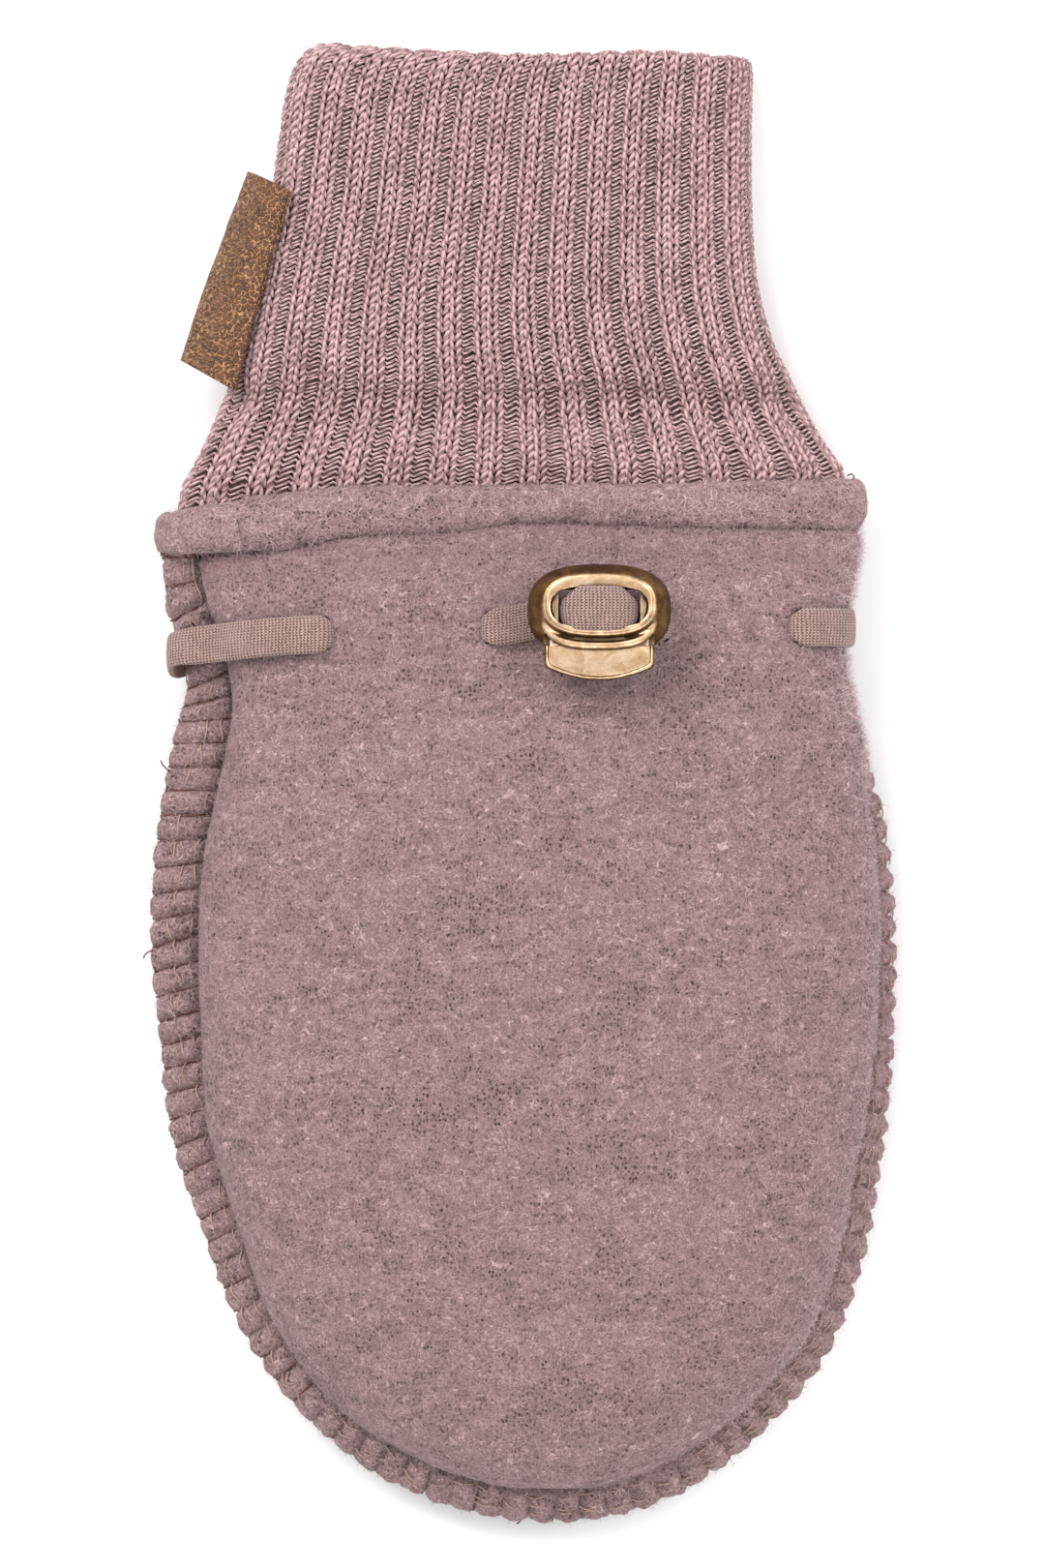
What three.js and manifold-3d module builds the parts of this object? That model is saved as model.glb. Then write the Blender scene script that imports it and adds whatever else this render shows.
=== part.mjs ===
// A baby mitten without a thumb, lying on its back on a table, seen from above with the knit cuff up.
// Millimetres. +X is the wearer's side that shows right, +Y runs from the round end to the cuff, +Z up.
// The mitten is a bag of thick wool fleece in two panels, joined by an overlock seam that stands out as
// a rim, with a turned fleece band and a doubled rib cuff at the top. A flat elastic runs round the wrist,
// in and out of four slits, and through a metal cord lock with a push button.

import * as THREE from 'three';
import { mergeVertices } from 'three/addons/utils/BufferGeometryUtils.js';
import Module from 'manifold-3d';

const wasm = await Module();
wasm.setup();

// Cloth walls and the gaps between pieces
const GAP = 0.3;
const FLEECE = 2.4;
const CUFF_WALL = 2.0;
const SEAM_GAP = 0.15;

// Fleece body
const BODY_TOP_Y = 25.9;
const ROUND_START_Y = -30;
const TIP_Y = -81;
const CROWN_Z = 20.5;
const WAIST_Y = 17;
const WAIST_DEPTH = 2.0;
const WAIST_FLAT = 4.5;
const WAIST_REACH = 14;
const NECK_DROP = 3.4;
const NECK_START_Y = 20;
const BODY_ROWS = 14;
const ROUND_ROWS = 11;
const LAST_ROW_ANGLE = THREE.MathUtils.degToRad(84);
const ARCH = { columns: 18, squareAcross: 2.5, squareUp: 2.3, squareAtEnd: 2.4 };
const TUCK = { columns: 3, fullBulge: 2 };
const TRAY = { columns: 14, square: 6, edgePower: 0.6, flatShare: 1.06, squareAtEnd: 6 };

// Overlock seam: a rim of two fleece edges bound by thread, bulging between the stitches
const SEAM_HALF = 1.8;
const STITCH_PITCH = 2.8;
const STATIONS_PER_STITCH = 2;
const PILLOW = 0.36;
const SCALLOP = 0.35;
const STITCH_LEAN = 0.45;
const RIM_PINCH = { share: 0.2, reach: 4 };

// The channel under the elastic on the back
const CHANNEL_Y = 16.6;
const CHANNEL_HALF = 4.1;
const CHANNEL_SHOULDER = 3;
const CHANNEL_LIFT = 1.9;

// Rib cuff, two knit columns and one sunk purl column to a repeat
const RIB_REPEATS = 31;
const RIB_PROFILE = [0, -0.16, 0, -0.8];
const CUFF_TOP_Y = 84;
const CUFF_LIP = 0.7;
const CUFF_MIDDLE = 0.45;
const CUFF_UNEVEN_REACH = { top: 24, bottom: 13 };
const CUFF_OUTLINE_STEPS = 480;
const CUFF_LEVELS = [30.2, 35.4, 38.5, 42.5, 46.5, 52, 62, 73, 80, CUFF_TOP_Y - CUFF_LIP];

// Turned band at the top of the fleece
const BAND_FRONT = 3.2;
const BAND_BACK = 2.2;
const BAND_RING_Y = 31;
const BAND_LEVEL_Y = 29;
const BAND_SWELL_FROM = -0.2;
const BAND_TO_PANEL = 0.6;
const BAND_TO_CUFF = 0.4;
const BAND_STEPS = 96;
const BAND_SPLIT = { left: -0.03, right: 0.555, gap: 0.003 };

// Elastic
const TAPE_WIDTH = 4.4;
const TAPE_IN_EYE = 3.0;
const TAPE_ON_BRIDGE = 4.2;
const TAPE_THICK = 1.2;
const TAPE_EDGE_THICK = 0.64;
const TAPE_BEND = 1.7;
const TAPE_TURN = 0.01;
const TAPE_ON_TOP = { left: -31.5, leftLift: 0.2, right: 33.6, rightLift: 0.4, crestLift: 0.2, above: 3 };
const TAPE_SQUEEZE = {
  from: 0.6,
  to: 2.4,
  frontFrom: 8,
  frontTo: 12,
  bridgeFrom: 1.0,
  bridgeTo: 0.7,
  sink: 1.5,
  risen: 0.2,
};
const SLIT = { long: 5.2, wide: 2.0, deep: 14 };

// Cord lock
const LOCK = {
  x: 8.83,
  y: 19.67,
  width: 16.3,
  height: 10.45,
  thick: 5.8,
  squareness: 2.6,
  bevel: 1.25,
  recess: { width: 11, height: 4.7, depth: 1.3, y: 0.35 },
  recessSquareness: 2.6,
  facets: { rim: 48, recess: 32, eye: 20, bevel: 4 },
  eye: { x: 3.56, y: 0.35, wide: 2.4, tall: 3.7, squareness: 4 },
};
const PLUNGER = {
  travel: 1.2,
  clearance: 0.15,
  plateThick: 2.6,
  plateFromBack: 1.15,
  plateHalf: 5.6,
  plateShoulder: 0.4,
  plateTop: 2.95,
  plateChamfer: 1.6,
  buttonThick: 4.2,
  buttonFromBack: 0.75,
  buttonHalf: 6.2,
  shoulder: -4.1,
  corner: -6.5,
  lowest: -7.97,
  window: { half: 0.9, low: -3.2, high: 2.35 },
};

// The crease where the front panel meets the rim, from the cuff down the left side, round the end and up
// the right. z: height of the crease. reach, drop: how far the rim's edge stands out and lies below it.
// bulge, rise: how far the front panel rounds out past the crease, and how high its widest point is.
const SEAM = table(['x', 'y', 'z', 'reach', 'drop', 'bulge', 'rise'], [
  [-37.2, 25.9, 9.8, 4.3, 0.8, 0, 0.9],
  [-36.2, 21.6, 9.6, 5.0, 0.6, 0, 0.9],
  [-34.3, 15.4, 9.2, 4.7, 0.4, 0, 0.9],
  [-33.2, 9.5, 9.0, 6.0, 0.6, 0, 0.9],
  [-34.3, 2.0, 8.8, 6.3, 0.6, 0, 0.9],
  [-36.4, -8.0, 8.8, 5.9, 0.8, 0, 0.9],
  [-37.1, -18.0, 8.8, 5.7, 1.0, 0, 0.9],
  [-36.6, -30.0, 8.8, 5.2, 1.4, 0, 0.9],
  [-35.8, -40.0, 8.8, 4.9, 1.8, 0, 0.9],
  [-32.9, -49.3, 8.6, 4.5, 2.2, 0, 0.9],
  [-29.0, -60.6, 8.4, 3.9, 2.8, 0, 0.9],
  [-22.9, -69.6, 8.2, 3.7, 3.1, 0, 0.9],
  [-14.6, -76.1, 8.0, 4.0, 3.1, 0, 0.9],
  [-5.2, -79.9, 8.0, 4.0, 3.1, 0, 0.9],
  [4.2, TIP_Y, 8.0, 4.0, 3.1, 0, 0.9],
  [13.6, -79.2, 8.0, 4.1, 3.2, 0, 0.9],
  [22.9, -73.8, 8.0, 3.9, 3.3, 0, 0.9],
  [31.3, -65.2, 7.8, 3.5, 3.6, 0, 0.9],
  [35.6, -55.9, 7.7, 3.3, 3.8, 0, 0.9],
  [38.4, -43.0, 7.6, 3.0, 4.0, 0, 0.9],
  [40.2, -31.0, 7.5, 2.4, 4.1, 0, 0.9],
  [40.8, -18.0, 7.4, 2.0, 4.2, 0, 0.9],
  [40.5, -9.0, 7.2, 1.7, 4.0, 0, 0.9],
  [39.6, -3.0, 7.0, 1.6, 3.4, 0.3, 1.4],
  [37.4, 3.5, 6.6, 2.0, 2.2, 2.0, 3.2],
  [35.2, 9.5, 6.6, 2.6, 1.2, 2.9, 4.2],
  [34.0, 16.5, 7.2, 2.2, 0.4, 2.9, 4.2],
  [34.2, 25.9, 6.6, 3.4, 0.6, 4.9, 4.4],
]);
const TIP_ROW = 14;

// Cross-sections of the cuff: its left and right edge and the heights of its underside and its front
const CUFF = table(['y', 'left', 'right', 'low', 'high'], [
  [27, -39.4, 36.9, 2.7, 12.7],
  [31, -39.4, 36.9, 2.7, 12.7],
  [35.4, -38.9, 36.8, 2.7, 12.7],
  [38.5, -36.9, 34.9, 1.1, 11.9],
  [42.5, -34.8, 32.7, 0, 10.5],
  [46, -33.3, 31.0, 0, 11.2],
  [51, -32.1, 28.6, 0, 11.5],
  [58, -30.6, 26.9, 0, 11.5],
  [66, -28.8, 26.3, 0, 11.4],
  [74, -27.6, 26.2, 0, 11.3],
  [79, -26.8, 26.3, 0, 11.2],
  [82, -25.6, 26.4, 0, 11.1],
  [CUFF_TOP_Y, -23.6, 26.3, 0, 10.9],
]);
const CUFF_SQUARENESS = 3.2;
const CUFF_FRONT_SQUARENESS = 4.4;
const CUFF_UNDERSIDE_SQUARENESS = 9;

// Edges of the turned band and the top of the cuff, across the mitten
const BAND_EDGES = table(['x', 'bottom', 'top', 'cuffTop'], [
  [-40, 26.3, 31.0, 84.6],
  [-27, 27.1, 33.2, 85.2],
  [-18, 28.4, 33.9, 84.6],
  [-8, 28.9, 34.0, 84.0],
  [2, 29.7, 34.1, 83.7],
  [14, 29.4, 34.2, 84.1],
  [27, 29.2, 34.5, 83.4],
  [40, 29.2, 34.9, 83.4],
]);

// Folded leather tab: where its sewn edge and its fold lie, and how far the fold hangs below that edge
const LABEL = table(['x', 'y', 'foldX', 'foldY', 'hang'], [
  [-26.5, 67.9, -31.3, 70.3, 4.2],
  [-28.8, 60.3, -34.0, 63.2, 3.6],
  [-31.0, 52.6, -36.8, 55.9, 2.6],
  [-32.8, 45.0, -39.2, 48.6, 1.6],
]);
const LABEL_STEPS = 5;
const LABEL_LAYER = 0.9;
const LABEL_SLOT = 0.3;
const LABEL_LIFT = 2.0;

// Where the elastic's middle lies up and down the mitten, from its left edge to its right
const TAPE_LINE = table(['x', 'front', 'back'], [
  [-41, 15.4, 15.4],
  [-26, 16.9, 15.9],
  [-4, 17.7, 16.5],
  [5, 19.0, 16.8],
  [13, 19.0, 17.1],
  [17, 18.0, 17.3],
  [39, 17.8, 17.8],
]);

// The elastic's way round the two sides of the mitten, from the back to the front on the left, and from
// the front to the back on the right
const LEFT_WRAP = table(['x', 'z'], [
  [-28, 0.9],
  [-35.4, 1.4],
  [-40.4, 5.4],
  [-40.4, 9.8],
  [-38.2, 11.4],
  [-35.2, 12.2],
]);
const RIGHT_WRAP = table(['x', 'z'], [
  [36.6, 15.9],
  [38.3, 13.8],
  [38.6, 11.2],
  [38.6, 4.4],
  [36.2, 0.9],
  [28, 0.9],
]);
const BACK_STOPS = [18, 6, -6, -18];
const SLITS = { left: -21.8, leftOfLock: -4.3, rightOfLock: 16.9, right: 31.0 };

const COLOURS = {
  fleece: 0xa7888a,
  seam: 0x9c7f81,
  knit: 0xb18f91,
  tape: 0xaf8f89,
  leather: 0x8c664c,
  brass: 0xb89160,
};

// Tables and shared helpers

function table(columns, rows) {
  return rows.map((row) => Object.fromEntries(columns.map((name, k) => [name, row[k]])));
}

// A smooth value of one column of a table, read by another column that rises down the table. It never
// passes beyond the values of the two rows that it lies between.
function read(rows, key, column, at) {
  const last = rows.length - 1;
  const clamped = THREE.MathUtils.clamp(at, rows[0][key], rows[last][key]);
  let k = 0;
  while (k < last - 1 && rows[k + 1][key] < clamped) k++;
  const secant = (i) => (rows[i + 1][column] - rows[i][column]) / (rows[i + 1][key] - rows[i][key]);
  const slope = (i) => {
    if (i === 0 || i === last) return secant(Math.min(i, last - 1));
    const [before, after] = [secant(i - 1), secant(i)];
    return before * after > 0 ? 2 * before * after / (before + after) : 0;
  };
  const span = rows[k + 1][key] - rows[k][key];
  const t = (clamped - rows[k][key]) / span;
  const t2 = t * t;
  const t3 = t2 * t;
  return (2 * t3 - 3 * t2 + 1) * rows[k][column] + (t3 - 2 * t2 + t) * span * slope(k)
    + (3 * t2 - 2 * t3) * rows[k + 1][column] + (t3 - t2) * span * slope(k + 1);
}

function signedPower(value, exponent) {
  return Math.sign(value) * Math.abs(value) ** exponent;
}

// 1 at the middle of a dome, falling ever more steeply to 0 at its edge
function dome(fraction, squareness) {
  return (1 - Math.min(Math.abs(fraction), 1) ** squareness) ** (1 / squareness);
}

function volumeOf(geometry) {
  const at = geometry.getAttribute('position');
  const corners = geometry.getIndex().array;
  const [a, b, c] = [new THREE.Vector3(), new THREE.Vector3(), new THREE.Vector3()];
  let six = 0;
  for (let k = 0; k < corners.length; k += 3) {
    a.fromBufferAttribute(at, corners[k]);
    b.fromBufferAttribute(at, corners[k + 1]);
    c.fromBufferAttribute(at, corners[k + 2]);
    six += a.dot(b.cross(c));
  }
  return six / 6;
}

// A geometry of these points and triangles, turned so that its faces look out
function solid(points, triangles) {
  const geometry = new THREE.BufferGeometry();
  geometry.setFromPoints(points);
  geometry.setIndex(triangles);
  if (volumeOf(geometry) < 0) {
    for (let k = 0; k < triangles.length; k += 3) {
      [triangles[k], triangles[k + 1]] = [triangles[k + 1], triangles[k]];
    }
    geometry.setIndex(triangles);
  }
  geometry.computeVertexNormals();
  return geometry;
}

function quad(triangles, a, b, c, d) {
  triangles.push(a, b, c, a, c, d);
}

// A wall between two grids of rows and columns. Round grids close from the last column to the first.
function wall(outer, inner, round) {
  const rows = outer.length;
  const columns = outer[0].length;
  const points = [...outer.flat(), ...inner.flat()];
  const out = (i, j) => i * columns + (j % columns);
  const inn = (i, j) => rows * columns + out(i, j);
  const triangles = [];
  const lastColumn = round ? columns : columns - 1;
  for (let j = 0; j < lastColumn; j++) {
    for (let i = 0; i < rows - 1; i++) {
      quad(triangles, out(i, j), out(i + 1, j), out(i + 1, j + 1), out(i, j + 1));
      quad(triangles, inn(i, j), inn(i, j + 1), inn(i + 1, j + 1), inn(i + 1, j));
    }
    quad(triangles, out(0, j), out(0, j + 1), inn(0, j + 1), inn(0, j));
    quad(triangles, out(rows - 1, j), inn(rows - 1, j), inn(rows - 1, j + 1), out(rows - 1, j + 1));
  }
  if (!round) {
    for (let i = 0; i < rows - 1; i++) {
      quad(triangles, out(i, 0), inn(i, 0), inn(i + 1, 0), out(i + 1, 0));
      const end = columns - 1;
      quad(triangles, out(i, end), out(i + 1, end), inn(i + 1, end), inn(i, end));
    }
  }
  return solid(points, triangles);
}

// A bar through loops of points, closed on itself or with flat ends
function bar(loops, closed) {
  const n = loops[0].length;
  const count = loops.length;
  const points = loops.flat();
  const triangles = [];
  const last = closed ? count : count - 1;
  for (let i = 0; i < last; i++) {
    const here = i * n;
    const next = ((i + 1) % count) * n;
    for (let j = 0; j < n; j++) {
      const k = (j + 1) % n;
      quad(triangles, here + j, here + k, next + k, next + j);
    }
  }
  if (!closed) {
    for (let j = 1; j < n - 1; j++) {
      triangles.push(0, j + 1, j);
      triangles.push((count - 1) * n, (count - 1) * n + j, (count - 1) * n + j + 1);
    }
  }
  return solid(points, triangles);
}

function toManifold(geometry) {
  const bare = geometry.clone();
  bare.deleteAttribute('normal');
  bare.deleteAttribute('uv');
  const merged = mergeVertices(bare, 1e-4);
  return new wasm.Manifold(new wasm.Mesh({
    numProp: 3,
    vertProperties: new Float32Array(merged.getAttribute('position').array),
    triVerts: new Uint32Array(merged.getIndex().array),
  }));
}

function fromManifold(body) {
  const mesh = body.getMesh();
  const geometry = new THREE.BufferGeometry();
  geometry.setAttribute('position', new THREE.BufferAttribute(new Float32Array(mesh.vertProperties), 3));
  geometry.setIndex(Array.from(mesh.triVerts));
  geometry.computeVertexNormals();
  return geometry;
}

// The seam line. out runs along the rim from the crease to its edge, up stands on the rim, and root is
// the middle of the rim's inner end, where the two panels meet.

const seamLine = new THREE.CatmullRomCurve3(
  SEAM.map((row) => new THREE.Vector3(row.x, row.y, row.z)), false, 'centripetal');
const seamRim = new THREE.CatmullRomCurve3(
  SEAM.map((row) => new THREE.Vector3(row.reach, row.drop, 0)), false, 'catmullrom', 0.5);
const seamBulge = new THREE.CatmullRomCurve3(
  SEAM.map((row) => new THREE.Vector3(row.bulge, row.rise, 0)), false, 'catmullrom', 0.5);
const TIP_T = TIP_ROW / (SEAM.length - 1);

function seamAt(t) {
  const point = seamLine.getPoint(t);
  const tangent = seamLine.getTangent(t).setZ(0).normalize();
  const rim = seamRim.getPoint(t);
  const side = seamBulge.getPoint(t);
  const length = Math.hypot(rim.x, rim.y);
  const outward = new THREE.Vector3(tangent.y, -tangent.x, 0);
  const out = outward.clone().multiplyScalar(rim.x / length).setZ(-rim.y / length);
  const up = outward.clone().multiplyScalar(rim.y / length).setZ(rim.x / length);
  return {
    crease: point,
    tangent,
    outward,
    out,
    up,
    root: point.clone().addScaledVector(up, -SEAM_HALF),
    length,
    bulge: Math.max(side.x, 0),
    rise: side.y,
  };
}

// Where the seam line crosses a height y, on the left or the right side
function seamAtY(y, side) {
  let low = TIP_T;
  let high = side === 'left' ? 0 : 1;
  for (let k = 0; k < 40; k++) {
    const middle = (low + high) / 2;
    if (seamLine.getPoint(middle).y < y) low = middle;
    else high = middle;
  }
  return seamAt((low + high) / 2);
}

// Rows of the body from the cuff to the round end. round runs from 0 to 1 over the dome of the end.
function bodyRows() {
  const rows = [];
  for (let k = 0; k < BODY_ROWS; k++) {
    rows.push(THREE.MathUtils.lerp(BODY_TOP_Y, ROUND_START_Y, k / BODY_ROWS));
  }
  for (let k = 0; k <= ROUND_ROWS; k++) {
    const angle = LAST_ROW_ANGLE * k / ROUND_ROWS;
    rows.push(ROUND_START_Y + (TIP_Y - ROUND_START_Y) * Math.sin(angle));
  }
  return rows;
}

function roundFraction(y) {
  return THREE.MathUtils.clamp((ROUND_START_Y - y) / (ROUND_START_Y - TIP_Y), 0, 1);
}

// The fleece's top edge follows the turned band, and the rows below it level out
function levelShift(x, y) {
  const fade = THREE.MathUtils.smoothstep(y, WAIST_Y + TAPE_WIDTH / 2, BODY_TOP_Y);
  return (read(BAND_EDGES, 'x', 'bottom', x) - BAND_TO_PANEL - BODY_TOP_Y) * fade;
}

function crownAt(y) {
  const away = Math.abs(y - WAIST_Y);
  const waist = WAIST_DEPTH * (1 - THREE.MathUtils.smoothstep(away, WAIST_FLAT, WAIST_REACH));
  const neck = NECK_DROP * THREE.MathUtils.smoothstep(y, NECK_START_Y, BODY_TOP_Y);
  return CROWN_Z - waist - neck;
}

// Front panel

// One row across the panel's outer face, or across its inner face where inset is the wall. It starts and
// ends at the root of the rim, arches over the hand, and at the right curls in under its widest point.
function frontRow(y, inset) {
  const left = seamAtY(y, 'left');
  const right = seamAtY(y, 'right');
  const rootOf = (at) => at.root.clone().addScaledVector(at.up, SEAM_GAP).addScaledVector(at.outward, -inset);
  const curl = THREE.MathUtils.smoothstep(right.bulge, 0, TUCK.fullBulge);
  const outerFoot = right.crease.z + GAP;
  let l = left.crease.clone().addScaledVector(left.up, GAP);
  let r = right.crease.clone().addScaledVector(right.up, GAP);
  let widestZ = outerFoot + right.rise;
  if (inset > 0) {
    l = rootOf(left);
    r = rootOf(right);
    l.z += SEAM_GAP;
    const lowFoot = r.z + SEAM_GAP;
    r.z = THREE.MathUtils.lerp(lowFoot, outerFoot + inset, curl);
    widestZ = THREE.MathUtils.lerp(lowFoot + right.rise, widestZ + GAP, curl);
  }
  const widestX = Math.max(r.x, right.crease.x + right.bulge - inset);
  const middle = (l.x + widestX) / 2;
  const half = (widestX - l.x) / 2;
  const crown = (crownAt(y) - inset - (l.z + widestZ) / 2) * dome(roundFraction(y), ARCH.squareAtEnd);
  const points = [];
  const add = (x, level, z) => points.push(new THREE.Vector3(x, level + levelShift(x, y), z));
  const addRoot = (at) => {
    const p = rootOf(at);
    add(p.x, p.y, p.z);
  };
  addRoot(left);
  for (let k = 0; k <= ARCH.columns; k++) {
    const angle = Math.PI * (1 - k / ARCH.columns);
    const across = signedPower(Math.cos(angle), 2 / ARCH.squareAcross);
    const share = (across + 1) / 2;
    const rise = crown * Math.sin(angle) ** (2 / ARCH.squareUp);
    const level = THREE.MathUtils.lerp(l.y, r.y, share);
    add(middle + half * across, level, THREE.MathUtils.lerp(l.z, widestZ, share) + rise);
  }
  for (let k = 1; k <= TUCK.columns; k++) {
    const angle = Math.PI / 2 * k / TUCK.columns;
    add(r.x + (widestX - r.x) * Math.cos(angle), r.y, widestZ - (widestZ - r.z) * Math.sin(angle));
  }
  addRoot(right);
  return points;
}

// The last row at the round end, let down to the level where the two panels meet
function endRow(y, inset, side) {
  const ends = ['left', 'right'].map((name) => {
    const at = seamAtY(y, name);
    return at.root.clone().addScaledVector(at.up, side * SEAM_GAP).addScaledVector(at.outward, -inset);
  });
  const count = ARCH.columns + TUCK.columns + 3;
  return Array.from({ length: count }, (_, k) => ends[0].clone().lerp(ends[1], k / (count - 1)));
}

function frontPanel() {
  const rows = bodyRows();
  const last = rows[rows.length - 1];
  const outer = [...rows.map((y) => frontRow(y, 0)), endRow(last, 0, 1)];
  const inner = [...rows.map((y) => frontRow(y, FLEECE)), endRow(last, FLEECE, 1)];
  const panel = toManifold(wall(outer, inner, false));
  let cut = panel;
  for (const x of Object.values(SLITS)) {
    const slit = new THREE.BoxGeometry(SLIT.wide, SLIT.long, SLIT.deep);
    slit.translate(x, read(TAPE_LINE, 'x', 'front', x), surfaceZ(x));
    cut = cut.subtract(toManifold(slit));
  }
  return fromManifold(cut);
}

// The height of the front panel's outer face at a place, or of its inner face where inset is the wall
function surfaceZ(x, y = WAIST_Y, inset = 0) {
  const line = frontRow(y, inset);
  const k = line.findIndex((p, i) => i > 1 && p.x >= x);
  const a = line[k - 1];
  const b = line[k];
  return THREE.MathUtils.mapLinear(x, a.x, b.x, a.z, b.z);
}

// Back panel: a shallow tray that lies flat on the table

function channelLift(y) {
  const away = Math.abs(y - CHANNEL_Y);
  return CHANNEL_LIFT * (1 - THREE.MathUtils.smoothstep(away, CHANNEL_HALF, CHANNEL_HALF + CHANNEL_SHOULDER));
}

function backRow(y, inset) {
  const left = seamAtY(y, 'left');
  const right = seamAtY(y, 'right');
  const under = SEAM_HALF + GAP;
  const foot = ({ root, up, outward }) => (inset > 0
    ? root.clone().addScaledVector(up, -SEAM_GAP).addScaledVector(outward, -inset - under * up.dot(outward))
    : root.clone().addScaledVector(up, -under));
  const l = foot(left);
  const r = foot(right);
  const floor = inset + channelLift(y);
  const middle = (l.x + r.x) / 2;
  const half = (r.x - l.x) / 2;
  const end = dome(roundFraction(y), TRAY.squareAtEnd);
  const points = [];
  const add = (x, z, share) => {
    const level = THREE.MathUtils.lerp(l.y, r.y, share);
    points.push(new THREE.Vector3(x, level + levelShift(x, y), z));
  };
  const addRim = ({ root, up }, own) => {
    const p = inset > 0 ? own.clone() : root.clone().addScaledVector(up, -SEAM_GAP);
    points.push(p.setY(p.y + levelShift(p.x, y)));
  };
  addRim(left, l);
  for (let k = 0; k <= TRAY.columns; k++) {
    const across = -Math.cos(Math.PI * k / TRAY.columns);
    const share = (across + 1) / 2;
    const bowl = TRAY.flatShare * (1 - Math.abs(across) ** TRAY.square) ** TRAY.edgePower * end;
    const low = Math.min(bowl, 1);
    const edge = THREE.MathUtils.lerp(l.z, r.z, share);
    const step = inset > 0 && (k === 0 || k === TRAY.columns) ? SEAM_GAP : 0;
    add(middle + half * across, edge + (floor - edge) * low - step, share);
  }
  addRim(right, r);
  return points;
}

function backPanelRows() {
  const clear = CHANNEL_HALF + CHANNEL_SHOULDER;
  const rows = bodyRows().filter((y) => Math.abs(y - CHANNEL_Y) > clear + 2 * GAP);
  const steps = [CHANNEL_HALF, CHANNEL_HALF + CHANNEL_SHOULDER / 2, clear];
  const shoulders = [-1, 1].flatMap((side) => steps.map((out) => CHANNEL_Y + side * out));
  return [...rows, ...shoulders].sort((a, b) => b - a);
}

function backPanel() {
  const rows = backPanelRows();
  return wall(rows.map((y) => backRow(y, 0)), rows.map((y) => backRow(y, FLEECE)), false);
}

// Overlocked rim

// The rim's section. out: how far from its inner end to its edge. back: how far short of that, in
// millimetres. up: the share of its half thickness.
const RIM_SECTION = table(['out', 'back', 'up'], [
  [0, -GAP, -0.8],
  [0.45, 0, -1],
  [1, 0.9, -0.9],
  [1, 0, -0.4],
  [1, 0, 0.4],
  [1, 0.9, 0.9],
  [0.45, 0, 1],
  [0, -GAP, 0.8],
]);

// The elastic pinches the rim, and its stitches lean on the left side only
function seamRimLoop(t, phase) {
  const at = seamAt(t);
  const swell = Math.sin(Math.PI * phase);
  const pinch = 1 - RIM_PINCH.share * Math.exp(-(((at.root.y - CHANNEL_Y) / RIM_PINCH.reach) ** 2));
  const half = (SEAM_HALF - PILLOW + PILLOW * swell) * pinch;
  const edge = at.length - SCALLOP * (1 - swell);
  const lean = STITCH_LEAN * (1 - THREE.MathUtils.smoothstep(t, TIP_T * 0.4, TIP_T));
  return RIM_SECTION.map(({ out, back, up }) => {
    const along = edge * out - back;
    return at.root.clone()
      .addScaledVector(at.out, along)
      .addScaledVector(at.up, half * up)
      .addScaledVector(at.tangent, lean * (along - edge / 2));
  });
}

function seamRimBody() {
  const stitches = Math.round(seamLine.getLength() / STITCH_PITCH);
  const loops = [];
  for (let k = 0; k <= stitches * STATIONS_PER_STITCH; k++) {
    const t = seamLine.getUtoTmapping(k / (stitches * STATIONS_PER_STITCH));
    loops.push(seamRimLoop(t, (k % STATIONS_PER_STITCH) / STATIONS_PER_STITCH));
  }
  return bar(loops, false);
}

// Cuff

// Points evenly spaced round a section of the cuff, from its left edge over the front, and their normals
function cuffRing(y, count, inset) {
  const left = read(CUFF, 'y', 'left', y) + inset;
  const right = read(CUFF, 'y', 'right', y) - inset;
  const low = read(CUFF, 'y', 'low', y) + inset;
  const high = read(CUFF, 'y', 'high', y) - inset;
  const middle = low + (high - low) * CUFF_MIDDLE;
  const steps = CUFF_OUTLINE_STEPS;
  const outline = [];
  for (let k = 0; k < steps; k++) {
    const angle = Math.PI - 2 * Math.PI * k / steps;
    const top = Math.sin(angle) >= 0;
    const square = top ? CUFF_FRONT_SQUARENESS : CUFF_UNDERSIDE_SQUARENESS;
    const rise = Math.abs(Math.sin(angle)) ** (2 / square);
    const x = (left + right) / 2 + (right - left) / 2 * signedPower(Math.cos(angle), 2 / CUFF_SQUARENESS);
    const z = middle + rise * (top ? high - middle : low - middle);
    outline.push(new THREE.Vector3(x, 0, z));
  }
  const curve = new THREE.CurvePath();
  outline.forEach((p, k) => curve.add(new THREE.LineCurve3(p, outline[(k + 1) % steps])));
  const lengths = curve.getCurveLengths();
  const total = lengths[lengths.length - 1];
  const ring = [];
  for (let j = 0, k = 0; j < count; j++) {
    const target = total * j / count;
    while (lengths[k] < target) k++;
    const before = k > 0 ? lengths[k - 1] : 0;
    const a = outline[k];
    const b = outline[(k + 1) % steps];
    const along = b.clone().sub(a).normalize();
    ring.push({
      point: a.clone().lerp(b, (target - before) / (lengths[k] - before)).setY(y),
      normal: new THREE.Vector3(-along.z, 0, along.x),
    });
  }
  return ring;
}

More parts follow.
